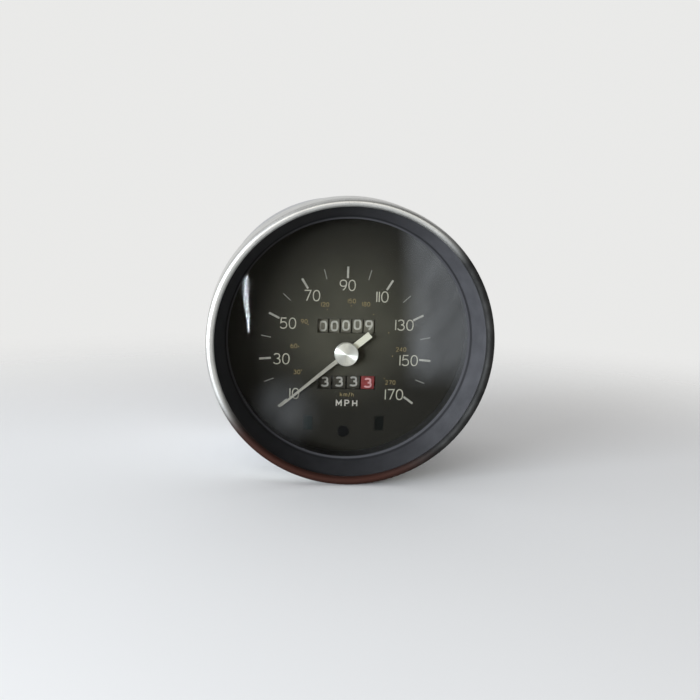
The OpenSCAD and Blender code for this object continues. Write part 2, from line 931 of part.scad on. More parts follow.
// Soft iron ring that closes the magnet's field round the cup
module field_cup() {
    color([0.45, 0.46, 0.48])
        facing()
            translate([0, axis_y, 0])
                tube(field_r + field_wall, field_r, plate_z, cup_z - field_drop);
}

// Three slotted screws through the back of the case
module movement_screws() {
    color([0.72, 0.72, 0.7])
        facing()
            for (p = pillars)
                translate([p[0], p[1], 0])
                    difference() {
                        union() {
                            rod(screw_r, back_z, inside_z + screw_depth);
                            rod(screw_head_r, back_z - screw_head_t, back_z);
                        }
                        translate([-slot_w / 2, -screw_head_r - past, back_z - screw_head_t - past])
                            cube([slot_w, 2 * (screw_head_r + past), slot_depth + past]);
                    }
}

// Flanged union that takes the drive cable's nut and carries the rear bearing
module cable_union() {
    color([0.66, 0.64, 0.58])
        facing()
            translate([0, axis_y, 0])
                difference() {
                    union() {
                        rod(union_d / 2, union_end, bush_front);
                        rod(union_d / 2 + union_flange_w, union_flange_z, back_z);
                    }
                    rod(ferrule_d / 2, union_end - past, socket_floor);
                    rod(rear_bush_r + press_gap, socket_floor - past, bush_front + past);
                }
}

// Sintered bronze bearing at the back of the drive spindle
module rear_bush() {
    color([0.62, 0.45, 0.25])
        facing()
            translate([0, axis_y, 0])
                tube(rear_bush_r, journal_r + run_fit, socket_floor, bush_front);
}

// Bronze bearing in the base plate
module front_bush() {
    color([0.62, 0.45, 0.25])
        facing()
            translate([0, axis_y, 0])
                tube(front_bush_r, front_journal_r + run_fit, plate_back, plate_z);
}

// Drive spindle: square socket, journals, thrust collar, first worm and the magnet's seat
module input_spindle() {
    color([0.6, 0.6, 0.62])
        facing()
            translate([0, axis_y, 0])
                difference() {
                    union() {
                        rod(journal_r, socket_floor, worm_z - worm_len / 2 + worm_lap);
                        rod(thrust_r, bush_front + collar_gap, bush_front + collar_gap + collar_t);
                        translate([0, 0, worm_z])
                            rotate([0, 0, 90])
                                worm(2, worm_module, worm_d, 0.42, worm_len);
                        rod(front_journal_r, worm_z + worm_len / 2 - worm_lap, plate_z + seat_lift);
                        rod(magnet_seat_r, plate_z + seat_lift, spindle_front);
                    }
                    translate([0, 0, socket_floor - past])
                        linear_extrude(height = square_depth + past)
                            square(drive_square, center = true);
                    rod(spindle_r + run_fit, spindle_front - pivot_depth, spindle_front + past);
                }
}

// Ring magnet on the front of the drive spindle
module magnet() {
    bore_r = magnet_seat_r + press_gap;
    color([0.32, 0.32, 0.35])
        facing()
            translate([0, axis_y, 0])
                tube(magnet_r, bore_r, plate_z + magnet_lift, spindle_front - collar_gap);
}

// Second stage: wheel on the first worm, and the worm that drives the counter shaft
module cross_shaft() {
    color([0.7, 0.6, 0.34])
        facing()
            translate([0, cross_y, worm_z])
                rotate([90, 0, 90])
                    union() {
                        rod(shaft_r, lug_left - shaft_r, lug_right + lug_t + shaft_r);
                        rotate([0, 0, 180 / wheel_teeth])
                            worm_wheel(wheel_teeth, worm_module, 2, worm_d, 0.42, wheel_w);
                        rod(hub_r, -hub_len / 2, hub_len / 2);
                        translate([0, 0, drive_offset])
                            rotate([0, 0, 180])
                                worm(2, worm_module, cross_worm_d, 0.42, worm_len);
                        for (x = [lug_left + lug_t + collar_gap, lug_right - collar_gap - collar_t])
                            rod(collar_r, x, x + collar_t);
                    }
}

// Third stage: wheel on the cross shaft's worm, and the worm between the two counters
module counter_shaft() {
    color([0.7, 0.6, 0.34])
        facing()
            translate([drive_offset, shaft_y, 0])
                union() {
                    rod(shaft_r, worm_z - hub_len / 2 - past, arbor_z + last_worm_len / 2 + past);
                    rod(hub_r, worm_z - hub_len / 2, worm_z + hub_len / 2);
                    translate([0, 0, worm_z])
                        rotate([0, 0, 180 / wheel_teeth])
                            worm_wheel(wheel_teeth, worm_module, 2, cross_worm_d, 0.42, wheel_w);
                    translate([0, 0, arbor_z])
                        rotate([0, 0, 90])
                            worm(1, worm_module, last_worm_d, 0.4, last_worm_len);
                    rod(collar_r, plate_back - collar_gap - collar_t, plate_back - collar_gap);
                }
}

// Wheel of the last worm stage, straight-toothed, on a tube round the arbor
module last_wheel(x0) {
    along_x(drive_offset - wheel_w / 2, 0, 0)
        linear_extrude(height = wheel_w)
            polygon(gear_points(last_teeth, worm_module, 0.4, tooth_add, tooth_ded));
    along_x(x0, 0, 0)
        rod(last_hub_r, 0, drive_offset - x0);
}

// Two carry teeth on the left face of a drum
module carry_teeth(x, depth, turn) {
    for (a = [-9, 9])
        along_x(x, 0, 0)
            rotate([0, 0, turn + a])
                translate([carry_tooth_in_r, -carry_tooth_w / 2, 0])
                    cube([rim_in_r + rim_lap - carry_tooth_in_r, carry_tooth_w, depth]);
}

// Number drum: rim, web, hub, inner ring gear on the right and carry teeth on the left
module drum_body(x, w, digit, way) {
    web_x = x + w - recess - web_t;
    along_x(x, 0, 0)
        tube(drum_r, rim_in_r, 0, w);
    along_x(web_x, 0, 0)
        tube(rim_in_r + rim_lap, drum_bore, 0, web_t);
    along_x(x + rim_lap, 0, 0)
        tube(drum_hub_r, drum_bore, 0, web_x - x);
    carry_teeth(x + rim_lap, web_x - x, way * digit * 36 - 90);
}

// Ring gear inside the right side of a drum, with a gap facing the pinion behind the arbor
module drum_gear(x, w) {
    along_x(x + w - recess - rim_lap, 0, 0)
        linear_extrude(height = recess - 2 * rim_lap)
            difference() {
                circle(r = rim_in_r + rim_lap);
                rotate([0, 0, -90])
                    polygon(gear_points(ring_teeth, carry_module, 0.62, 1.08, 0.78));
            }
}

// Drum of the distance counter, counted from the left
module odometer_drum(i) {
    x = odometer_x + (i - 1) * odometer_pitch + drum_space / 2;
    color([0.12, 0.12, 0.12])
        facing()
            translate([0, odometer_y, arbor_z])
                union() {
                    drum_body(x, odometer_w, odometer_reading[i - 1], 1);
                    drum_gear(x, odometer_w);
                }
}

module odometer_drum_1() {
    odometer_drum(1);
}

module odometer_drum_2() {
    odometer_drum(2);
}

module odometer_drum_3() {
    odometer_drum(3);
}

module odometer_drum_4() {
    odometer_drum(4);
}

module odometer_drum_5() {
    odometer_drum(5);
}

// Hidden tenths wheel that drives the distance counter from the last worm
module odometer_drive_wheel() {
    x = odometer_x + 5 * odometer_pitch + drum_space / 2;
    color([0.8, 0.78, 0.7])
        facing()
            translate([0, odometer_y, arbor_z])
                difference() {
                    union() {
                        last_wheel(x + 2 * rim_lap);
                        along_x(x + carry_disc_t, 0, 0)
                            rod(rim_in_r, 0, carry_disc_t);
                        carry_teeth(x + rim_lap, carry_disc_t, 0);
                    }
                    along_x(0, 0, 0)
                        rod(drum_bore, 0, 2 * drive_offset);
                }
}

// Carry pinion behind the arbor, half inside the drum on its left
module carry_pinion(x, y) {
    color([0.85, 0.84, 0.8])
        facing()
            along_x(x - pinion_gap - pinion_w, y, arbor_z - carry_centre)
                linear_extrude(height = pinion_w)
                    difference() {
                        rotate([0, 0, -90])
                            polygon(gear_points(pinion_teeth, carry_module, 0.38, 0.78, 0.95));
                        circle(r = stub_r + run_fit, $fn = 32);
                    }
}

function odometer_edge(i) = odometer_x + i * odometer_pitch - drum_space / 2;
function trip_edge(i) = trip_x + i * trip_pitch - drum_space / 2;

module odometer_pinion_1() {
    carry_pinion(odometer_edge(1), odometer_y);
}

module odometer_pinion_2() {
    carry_pinion(odometer_edge(2), odometer_y);
}

module odometer_pinion_3() {
    carry_pinion(odometer_edge(3), odometer_y);
}

module odometer_pinion_4() {
    carry_pinion(odometer_edge(4), odometer_y);
}

module odometer_pinion_5() {
    carry_pinion(odometer_edge(5), odometer_y);
}

// Still plate between two drums: disc, tail to the bar behind, and the pinion's stub
module carrier(x, y) {
    gap = (drum_space - carrier_t) / 2;
    tail_end = bar_z - arbor_z - bar_r - carrier_tail_lap;
    stub_len = pinion_w + 2 * pinion_gap;
    color([0.68, 0.68, 0.66])
        facing()
            union() {
                translate([0, y, arbor_z])
                    along_x(x + gap, 0, 0)
                        linear_extrude(height = carrier_t)
                            difference() {
                                union() {
                                    circle(r = carrier_r);
                                    translate([-carrier_tail_w / 2, tail_end])
                                        square([carrier_tail_w, -tail_end]);
                                }
                                circle(r = drum_bore + run_fit);
                                translate([0, bar_z - arbor_z])
                                    circle(r = bar_r + pin_fit, $fn = 32);
                            }
                along_x(x - stub_len, y, arbor_z - carry_centre)
                    rod(stub_r, 0, stub_len + gap + carrier_t / 2);
            }
}

module odometer_carriers() {
    for (i = [1 : 5])
        carrier(odometer_edge(i), odometer_y);
}

module trip_carriers() {
    for (i = [1 : 3])
        carrier(trip_edge(i), trip_y);
}

// Still rod across the cheeks that keeps the carrier plates from turning
module carrier_bar(y) {
    color([0.66, 0.66, 0.68])
        facing()
            along_x(left_cheek_x - cheek_t, y, bar_z)
                rod(bar_r, 0, right_cheek_x - left_cheek_x + 2 * cheek_t);
}

module odometer_carrier_bar() {
    carrier_bar(odometer_y);
}

module trip_carrier_bar() {
    carrier_bar(trip_y);
}

// Fixed arbor of the distance counter with a head at each end
module odometer_arbor() {
    len = right_cheek_x - left_cheek_x + 2 * cheek_t;
    color([0.7, 0.7, 0.72])
        facing()
            along_x(left_cheek_x - cheek_t, odometer_y, arbor_z)
                union() {
                    rod(arbor_r, -collar_t, len + collar_t);
                    rod(collar_r, -collar_t, 0);
                    rod(collar_r, len, len + collar_t);
                }
}

// Drum of the trip counter, counted from the left
module trip_drum(i, tint) {
    x = trip_x + (i - 1) * trip_pitch + drum_space / 2;
    color(tint)
        facing()
            translate([0, trip_y, arbor_z])
                difference() {
                    union() {
                        drum_body(x, trip_w, trip_reading[i - 1], -1);
                        if (i < 4)
                            drum_gear(x, trip_w);
                        else
                            last_wheel(x + trip_w - recess);
                    }
                    along_x(x - past, 0, 0)
                        rod(drum_bore, 0, 2 * drive_offset);
                }
}

module trip_drum_1() {
    trip_drum(1, [0.04, 0.04, 0.04]);
}

module trip_drum_2() {
    trip_drum(2, [0.04, 0.04, 0.04]);
}

module trip_drum_3() {
    trip_drum(3, [0.04, 0.04, 0.04]);
}

module trip_drum_4() {
    trip_drum(4, [0.55, 0.07, 0.06]);
}

module trip_pinion_1() {
    carry_pinion(trip_edge(1), trip_y);
}

module trip_pinion_2() {
    carry_pinion(trip_edge(2), trip_y);
}

module trip_pinion_3() {
    carry_pinion(trip_edge(3), trip_y);
}

// Turning arbor of the trip counter with the reset pinion outside the left cheek
module trip_arbor() {
    x0 = reset_gear_x - reset_pinion_w / 2;
    x1 = right_cheek_x + cheek_t + collar_gap;
    color([0.7, 0.7, 0.72])
        facing()
            translate([0, trip_y, arbor_z])
                union() {
                    along_x(x0 - collar_t, 0, 0)
                        rod(arbor_r, 0, x1 - x0 + 2 * collar_t + collar_gap);
                    along_x(x1, 0, 0)
                        rod(collar_r, 0, collar_t);
                    along_x(x0, 0, 0)
                        linear_extrude(height = reset_pinion_w)
                            polygon(gear_points(reset_pinion_teeth, reset_module, 0.36, 0.8, 1));
                    along_x(reset_gear_x, 0, 0)
                        rod(reset_hub_r, 0, reset_gap - collar_gap);
                }
}

// Radial tooth of the crown wheel, a rack tooth standing towards the front
module crown_tooth() {
    half = 0.34 * PI * reset_module / 2;
    add = 0.8 * reset_module;
    ded = reset_module;
    translate([crown_r - crown_face / 2, 0, 0])
        rotate([90, 0, 90])
            linear_extrude(height = crown_face)
                polygon([
                    [-half - ded * tan(20), -ded - rim_lap],
                    [half + ded * tan(20), -ded - rim_lap],
                    [half - add * tan(20), add],
                    [-half + add * tan(20), add]
                ]);
}

// Reset spindle: crown wheel in front, slotted end at the back
module reset_spindle() {
    crown_back = crown_z - reset_module;
    slot = 0.8;
    color([0.7, 0.7, 0.72])
        facing()
            translate([reset_x, trip_y, 0])
                difference() {
                    union() {
                        rod(shaft_r, reset_floor, crown_back);
                        rod(crown_r + crown_face / 2, crown_back - crown_t, crown_back);
                        for (i = [0 : crown_teeth - 1])
                            translate([0, 0, crown_z])
                                rotate([0, 0, (i + 0.5) * 360 / crown_teeth])
                                    crown_tooth();
                        rod(collar_r, plate_z + collar_gap, plate_z + collar_gap + collar_t);
                        rod(collar_r, plate_back - collar_gap - collar_t, plate_back - collar_gap);
                    }
                    translate([-slot / 2, -shaft_d, reset_floor - past])
                        cube([slot, 2 * shaft_d, shaft_d + past]);
                }
}

// Flanged union for the reset cable
module reset_union() {
    color([0.66, 0.64, 0.58])
        facing()
            translate([reset_x, trip_y, 0])
                difference() {
                    union() {
                        rod(reset_d / 2, reset_end, inside_z + reset_stand);
                        rod(reset_d / 2 + reset_flange_w, reset_flange_z, back_z);
                    }
                    rod(reset_socket_r, reset_end - past, reset_floor);
                    rod(shaft_r + run_fit, reset_floor - past, inside_z + reset_stand + past);
                }
}

// Two studs with a shoulder in the back of the case and flat heads inside
module mounting_studs() {
    color([0.7, 0.7, 0.66])
        facing()
            for (s = [-1, 1])
                translate([s * stud_spacing / 2, 0, 0])
                    union() {
                        rod(stud_d / 2, back_z - stud_len, inside_z);
                        rod(stud_neck_r, back_z, inside_z + stud_head_t);
                        rod(stud_neck_r + stud_head_w, inside_z, inside_z + stud_head_t);
                    }
}

// Push-in lamp holder: neck through the back, cap and spade outside
module lamp_holder() {
    cap_z = back_z - holder_cap_t;
    boss_z = cap_z - holder_boss_t;
    difference() {
        union() {
            rod(holder_r, back_z, holder_front);
            rod(holder_r + holder_cap_w, cap_z, back_z);
            rod(holder_r - holder_wall, boss_z, cap_z);
            translate([-spade_w / 2, -spade_t / 2, boss_z - spade_len])
                cube([spade_w, spade_t, spade_len + holder_boss_t / 2]);
        }
        rod(bulb_r + lens_gap, holder_front - bulb_seat, holder_front + past);
    }
}

module lamp_holders() {
    color([0.2, 0.2, 0.2])
        facing()
            for (p = lamps)
                translate([p[0], p[1], 0])
                    lamp_holder();
}

// Glass bulb with a round end
module lamp_bulbs() {
    color([0.9, 0.9, 0.85, 0.5])
        facing()
            for (p = lamps)
                translate([p[0], p[1], 0])
                    union() {
                        rod(bulb_r, holder_front - bulb_seat + lens_gap, holder_front + bulb_len);
                        translate([0, 0, holder_front + bulb_len])
                            sphere(r = bulb_r, $fn = 32);
                    }
}

// Spade for the earth wire, riveted to the back
module earth_tab() {
    color([0.75, 0.68, 0.4])
        facing()
            translate([earth_at[0], earth_at[1], 0])
                union() {
                    rod(earth_rivet_r, back_z - earth_t - earth_head_t, inside_z + earth_head_t);
                    rod(earth_head_r, inside_z, inside_z + earth_head_t);
                    rod(earth_head_r, back_z - earth_t - earth_head_t, back_z - earth_t);
                    translate([-earth_w / 2, -earth_foot / 2, back_z - earth_t])
                        cube([earth_w, earth_foot, earth_t]);
                    translate([-earth_w / 2, earth_foot / 2 - earth_t, back_z - earth_len])
                        cube([earth_w, earth_t, earth_len]);
                }
}

bezel();
flare_ring();
glass();
glass_gasket();
case();
dial_surround();
dial_plate();
telltale_lens_left();
telltale_lens_middle();
telltale_lens_right();
telltale_housing();
pointer_needle();
pointer_cap();
pointer_spindle();
drag_cup();
hairspring();
spring_stud();
movement_frame();
pointer_bridge();
bridge_screws();
field_cup();
movement_screws();
cable_union();
rear_bush();
front_bush();
input_spindle();
magnet();
cross_shaft();
counter_shaft();
odometer_arbor();
odometer_drive_wheel();
odometer_drum_1();
odometer_drum_2();
odometer_drum_3();
odometer_drum_4();
odometer_drum_5();
odometer_pinion_1();
odometer_pinion_2();
odometer_pinion_3();
odometer_pinion_4();
odometer_pinion_5();
odometer_carriers();
odometer_carrier_bar();
trip_drum_1();
trip_drum_2();
trip_drum_3();
trip_drum_4();
trip_pinion_1();
trip_pinion_2();
trip_pinion_3();
trip_carriers();
trip_carrier_bar();
trip_arbor();
reset_spindle();
reset_union();
mounting_studs();
lamp_holders();
lamp_bulbs();
earth_tab();
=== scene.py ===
import json
from math import atan2, cos, pi, radians, sin

import bmesh
import bpy
import numpy as np
from bpy.props import FloatProperty, FloatVectorProperty, IntProperty, PointerProperty, StringProperty
from bpy.types import NodeSocket, Operator, Panel, PropertyGroup
from mathutils import Matrix, Vector

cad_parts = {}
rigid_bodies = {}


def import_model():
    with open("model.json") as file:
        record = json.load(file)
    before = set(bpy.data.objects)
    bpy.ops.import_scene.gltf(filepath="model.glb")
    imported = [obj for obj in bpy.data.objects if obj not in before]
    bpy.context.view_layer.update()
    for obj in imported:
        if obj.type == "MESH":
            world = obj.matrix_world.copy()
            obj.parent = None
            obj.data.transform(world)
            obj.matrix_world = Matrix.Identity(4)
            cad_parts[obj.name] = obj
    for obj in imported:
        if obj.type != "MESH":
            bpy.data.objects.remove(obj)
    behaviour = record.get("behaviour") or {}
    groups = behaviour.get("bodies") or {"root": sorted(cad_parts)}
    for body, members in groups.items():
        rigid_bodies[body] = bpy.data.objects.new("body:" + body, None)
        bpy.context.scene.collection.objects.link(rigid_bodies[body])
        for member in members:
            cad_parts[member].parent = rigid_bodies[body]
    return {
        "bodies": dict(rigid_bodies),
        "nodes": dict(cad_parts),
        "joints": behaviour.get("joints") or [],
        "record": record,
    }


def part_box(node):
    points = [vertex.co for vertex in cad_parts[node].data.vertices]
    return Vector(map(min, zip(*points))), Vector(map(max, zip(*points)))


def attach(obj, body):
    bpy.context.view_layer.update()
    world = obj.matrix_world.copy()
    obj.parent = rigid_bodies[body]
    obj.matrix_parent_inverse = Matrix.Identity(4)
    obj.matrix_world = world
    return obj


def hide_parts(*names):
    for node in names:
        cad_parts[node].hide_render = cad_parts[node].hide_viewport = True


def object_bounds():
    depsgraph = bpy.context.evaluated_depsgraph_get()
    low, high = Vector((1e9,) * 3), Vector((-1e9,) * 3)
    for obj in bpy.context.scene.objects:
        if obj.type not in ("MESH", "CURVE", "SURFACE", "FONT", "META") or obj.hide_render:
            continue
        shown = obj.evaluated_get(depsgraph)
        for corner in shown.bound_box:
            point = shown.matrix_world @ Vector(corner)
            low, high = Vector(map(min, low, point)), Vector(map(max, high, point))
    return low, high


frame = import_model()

bl_info = {
    "name": "Road speedometer dress",
    "version": (1, 0, 0),
    "blender": (4, 5, 0),
    "location": "View3D > Sidebar > Speedometer",
    "description": "Prints the dial, numbers the drums, cuts the threads and finishes every piece",
    "category": "Object",
}

CAD_BOX = [list(corner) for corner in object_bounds()]
NODES = frame["nodes"]
JOINTS = {joint["name"]: joint for joint in frame["joints"]}
MOUNTS = {mount["name"]: mount for mount in frame["record"]["mounts"]}
HOUSING = "housing"
MM = 0.001
ORIGIN = (0.0, 0.0, 0.0)

DIAL_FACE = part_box("dial_plate")[0].y
GLASS_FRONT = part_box("glass")[0].y
CASE_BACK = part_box("case")[1].y
BEZEL_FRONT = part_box("bezel")[0].y
BEZEL_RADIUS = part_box("bezel")[1].x
POINTER_X, _, POINTER_Z = JOINTS["pointer_swing"]["pos_m"]
ODOMETER_DRUMS = ["odometer_drum_%d" % i for i in range(1, 6)]
TRIP_DRUMS = ["trip_drum_%d" % i for i in range(1, 5)]


def hole_radius(node):
    """Smallest distance of a node's corners from the case's axis."""
    corners = np.empty(3 * len(NODES[node].data.vertices))
    NODES[node].data.vertices.foreach_get("co", corners)
    return float(np.hypot(corners[0::3], corners[2::3]).min())


LIP_RADIUS = hole_radius("flare_ring")


# Settings that a user would change

def length(name, description, default):
    """A size in metres, shown in the user's own unit."""
    return FloatProperty(name=name, description=description, default=default, unit="LENGTH", precision=5)


def lengths(name, description, *default):
    """Several sizes in metres."""
    return FloatVectorProperty(
        name=name, description=description, default=default, size=len(default), unit="LENGTH", precision=5)


def angle(name, description, degrees):
    """An angle, written here in degrees."""
    return FloatProperty(name=name, description=description, default=radians(degrees), subtype="ANGLE")


def tint(name, description, *colour):
    """A linear colour."""
    return FloatVectorProperty(
        name=name, description=description, default=colour, subtype="COLOR", size=3, min=0.0, max=1.0)


def count(name, description, default):
    """A whole number."""
    return IntProperty(name=name, description=description, default=default)


def wattage(name, description, watts):
    """The power of a lamp."""
    return FloatProperty(name=name, description=description, default=watts, unit="POWER")


class DialSettings(PropertyGroup):
    """Sizes and colours of the print on the dial."""
    first_speed: count("First speed", "Lowest numbered speed", 10)
    last_speed: count("Last speed", "Highest numbered speed", 170)
    speed_step: count("Speed step", "Speed between two numbers", 20)
    sweep: angle("Sweep", "Angle between the first and the last number, even about the top", 252.8)
    tick_radius: length("Tick radius", "Outer end of the ticks from the pointer's axis", 0.0375)
    tick_length: length("Tick length", "Length of a tick at a number", 0.0050)
    tick_width: length("Tick width", "Width of a tick at a number", 0.00088)
    minor_length: length("Minor tick length", "Length of a tick between numbers", 0.0044)
    minor_width: length("Minor tick width", "Width of a tick between numbers", 0.00034)
    label_radius: length("Number radius", "Middle of the numbers at the top of the dial", 0.0294)
    label_draw: length("Number draw", "How much nearer the numbers stand at the sides", 0.0015)
    label_droop: angle("Number droop", "How far the first and last number stand below their ticks", 3.6)
    label_size: lengths("Number size", "Width, height and stroke of speed digits", 0.0032, 0.0049, 0.00046)
    metric_step: count("Metric step", "Kilometres per hour between numbers", 30)
    metric_last: count("Metric last", "Highest kilometres per hour", 270)
    metric_left_out: count("Metric left out", "Kilometre number whose place a speed number takes", 210)
    metric_radius: length("Metric radius", "Middle of the small kilometre numbers", 0.0227)
    metric_spread: length("Metric spread", "How far out a third digit sets a number at the sides", 0.0016)
    metric_clearance: angle("Metric clearance", "Turn between a kilometre and a speed number", 10.5)
    metric_dot_radius: length("Metric dot radius", "Ring of the dots under the kilometre numbers", 0.0206)
    metric_size: lengths("Metric size", "Width, height and stroke of digits", 0.0013, 0.0020, 0.00026)
    unit_height: length("Unit height", "Height of the main unit's capitals", 0.0030)
    unit_drop: length("Unit drop", "Middle of the main unit below the pointer's axis", 0.0224)
    unit_shift: length("Unit shift", "Middle of both units to the right of the pointer's axis", 0.0011)
    metric_unit_height: length("Metric unit height", "Height of the small unit", 0.0019)
    metric_unit_drop: length("Metric unit drop", "Middle of the small unit below the axis", 0.0185)
    ink: length("Ink", "Thickness of the printed ink", 0.00003)
    number_colour: tint("Numbers", "Off-white ink of the speed numbers", 0.56, 0.53, 0.425)
    tick_colour: tint("Ticks", "Ink of the ticks at numbers", 0.47, 0.45, 0.385)
    unit_colour: tint("Unit", "Ink of the main unit", 0.66, 0.62, 0.55)
    minor_colour: tint("Minor ticks", "Thin ink of the ticks between numbers", 0.31, 0.30, 0.26)
    metric_colour: tint("Kilometre numbers", "Ochre ink of the kilometre numbers", 0.29, 0.22, 0.095)


class CounterSettings(PropertyGroup):
    """What the two counters read and how their digits stand."""
    odometer_reading: StringProperty(
        name="Distance", description="Digits of the distance counter", default="00009")
    trip_reading: StringProperty(name="Trip", description="Digits of the trip counter", default="3333")
    odometer_slip: lengths("Distance slip", "How far each distance digit stands above its window's middle",
                           -0.00039, -0.0003, 0.0, 0.0005, 0.0002)
    trip_slip: lengths("Trip slip", "How far each trip digit stands above its window's middle",
                       -0.0002, -0.0001, 0.0001, -0.0004)
    odometer_size: lengths("Distance size", "Width, height and stroke of digits", 0.0034, 0.0047, 0.00082)
    trip_size: lengths("Trip size", "Width, height and stroke of digits", 0.0034, 0.0045, 0.00080)
    ink: length("Ink", "Thickness of the ink on the drums", 0.00002)
    odometer_colour: tint("Distance digits", "Greyed white of the distance digits", 0.545, 0.525, 0.45)
    trip_colour: tint("Trip digits", "White of the trip digits", 0.46, 0.44, 0.395)
    tenths_colour: tint("Tenths digits", "Pink-white of the digits on the red drum", 0.78, 0.42, 0.42)
    odometer_drum: tint("Distance drums", "Faded black of the distance drums", 0.175, 0.163, 0.125)
    trip_drum: tint("Trip drums", "Black of the trip drums", 0.062, 0.056, 0.044)
    tenths_drum: tint("Tenths drum", "Red of the last trip drum", 0.31, 0.062, 0.060)


class FinishSettings(PropertyGroup):
    """Colours of the metal, paint and lenses."""
    bezel: tint("Bezel", "Worn bright plating of the bezel", 0.62, 0.62, 0.595)
    # Painted reflections on the bezel's bead: dark at the right and below, brown along the lower edge.
    patina: tint("Patina", "Dark film over the bezel's right and lower side", 0.030, 0.030, 0.029)
    tarnish: tint("Tarnish", "Brown stain along the bezel's lower edge", 0.056, 0.025, 0.019)
    flare: tint("Flare", "Dusty blue-black of the funnel ring", 0.038, 0.038, 0.0405)
    # The dial is darker near its edge and lighter and warmer in its middle.
    dial: tint("Dial", "Matt black of the dial near its edge", 0.0255, 0.0236, 0.0188)
    dial_faded: tint("Dial, faded", "Warm black of the dial's faded middle", 0.085, 0.080, 0.060)
    lens_left: tint("Left lens", "Unlit green of the left warning lens", 0.009, 0.015, 0.013)
    lens_middle: tint("Middle lens", "Unlit dark of the middle warning lens", 0.008, 0.008, 0.008)
    lens_right: tint("Right lens", "Unlit dark of the right warning lens", 0.008, 0.009, 0.008)
    needle: tint("Needle", "Greyed paint of the needle", 0.45, 0.42, 0.355)
    needle_tail: tint("Needle tail", "Cream paint of the needle's tail", 0.87, 0.84, 0.68)
    cap: tint("Cap", "Spun metal of the cap", 0.90, 0.90, 0.84)
    case: tint("Case", "Zinc plating of the case", 0.50, 0.51, 0.52)
    steel: tint("Steel", "Bright steel of spindles and arbors", 0.56, 0.56, 0.55)
    brass: tint("Brass", "Brass of bushes and worm shafts", 0.66, 0.48, 0.20)


class StudioSettings(PropertyGroup):
    """Camera, floor and light."""
    azimuth: angle("Azimuth", "Camera's turn about the gauge, to the right", -5.6)
    elevation: angle("Elevation", "Camera's height above the gauge's axis", 9.8)
    roll: angle("Roll", "Turn of the gauge in the picture, clockwise", 1.83)
    distance: length("Distance", "From the camera to the gauge's face", 0.50)
    picture_width: length("Picture width", "Width of the picture at the gauge's face", 0.28825)
    aim_x: length("Aim across", "Point looked at, to the right of the gauge's axis", -0.00072)
    aim_z: length("Aim up", "Point looked at, above the gauge's axis", -0.0022)
    key_power: wattage("Key", "Power of the soft lamp at the left", 23.0)
    fill_power: wattage("Fill", "Power of the soft lamp in front", 1.2)
    key_colour: tint("Key colour", "Cool light of the key", 0.86, 0.92, 1.0)
    fill_colour: tint("Fill colour", "Warm light of the fill", 1.0, 0.95, 0.86)
    panel_colour: tint("Panel colour", "Cool light of the panels that the glass mirrors", 0.88, 0.94, 1.0)
    sky_dim: tint("Sky dim", "Dimmest part of the sky, in front and to the right", 0.030, 0.029, 0.027)
    sky_bright: tint("Sky bright", "Brightest part of the sky, behind and to the left", 0.72, 0.72, 0.73)
    horizon: tint("Horizon", "Pale backdrop all round", 0.82, 0.82, 0.81)
    floor_colour: tint("Floor", "Pale floor", 0.88, 0.88, 0.87)
    floor_bounce: tint("Floor bounce", "What little the floor sends back at the gauge", 0.14, 0.13, 0.12)


def settings(context, group):
    """The settings group of that name on the scene."""
    return getattr(context.scene, "speedometer_" + group)


# Meshes from arrays

def grid_faces(rows, columns, close_rows=False, close_columns=False):
    """Quads between neighbours of a grid of points, joined end to end where a direction closes."""
    row = np.arange(rows if close_rows else rows - 1)[:, None]
    column = np.arange(columns if close_columns else columns - 1)[None, :]
    next_row = (row + 1) % rows
    next_column = (column + 1) % columns
    corners = (
        row * columns + column, row * columns + next_column,
        next_row * columns + next_column, next_row * columns + column)
    return np.stack(np.broadcast_arrays(*corners), axis=-1).reshape(-1, 4)


def add_object(name, data):
    """An object of that data in the scene."""
    thing = bpy.data.objects.new(name, data)
    bpy.context.scene.collection.objects.link(thing)
    return thing


def outward(points, faces):
    """The faces turned so that the closed surface holds a positive volume, a sum of corner products."""
    a, b, c, d = (points[faces[:, i]] for i in range(4))
    volume = np.sum(a * np.cross(b, c)) + np.sum(a * np.cross(c, d))
    return faces if volume > 0 else faces[:, ::-1]


def add_piece(name, points, faces, body, material, smooth_below=0.0):
    """A mesh object at the origin that rides on a body, smooth where faces meet below an angle."""
    mesh = bpy.data.meshes.new(name)
    mesh.from_pydata(points.tolist(), [], outward(points, faces).tolist())
    weld = bmesh.new()
    weld.from_mesh(mesh)
    bmesh.ops.remove_doubles(weld, verts=weld.verts, dist=1e-8)
    weld.to_mesh(mesh)
    weld.free()
    if smooth_below:
        mesh.shade_smooth()
        mesh.set_sharp_from_angle(angle=smooth_below)
    mesh.materials.append(material)
    piece = add_object(name, mesh)
    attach(piece, body)
    return piece


def turned(profile, centre, columns, thread):
    """Points and faces of a profile of (radius, depth) pairs carried round a line along Y through (x, z).
    The thread (crest, start, end, pitch, cut) lowers the crest between start and end by
    cut * (1 - cos(2 pi (depth / pitch - turn))) / 2, eased to nought over one pitch at both ends."""
    profile = np.asarray(profile, float)
    turn = np.linspace(0.0, 1.0, columns, endpoint=False)[None, :]
    radius = profile[:, :1] + 0.0 * turn
    depth = profile[:, 1:] + 0.0 * turn
    crest, start, end, pitch, cut = thread
    ease = np.clip(np.minimum(depth - start, end - depth) / pitch, 0.0, 1.0) * np.isclose(radius, crest)
    radius = radius - cut * ease * (1.0 - np.cos(2.0 * pi * (depth / pitch - turn))) / 2.0
    x = centre[0] + radius * np.cos(2.0 * pi * turn)
    z = centre[1] + radius * np.sin(2.0 * pi * turn)
    points = np.stack([x, depth, z], axis=-1).reshape(-1, 3)
    return points, grid_faces(len(profile), columns, close_columns=True)


# Strokes of the figures

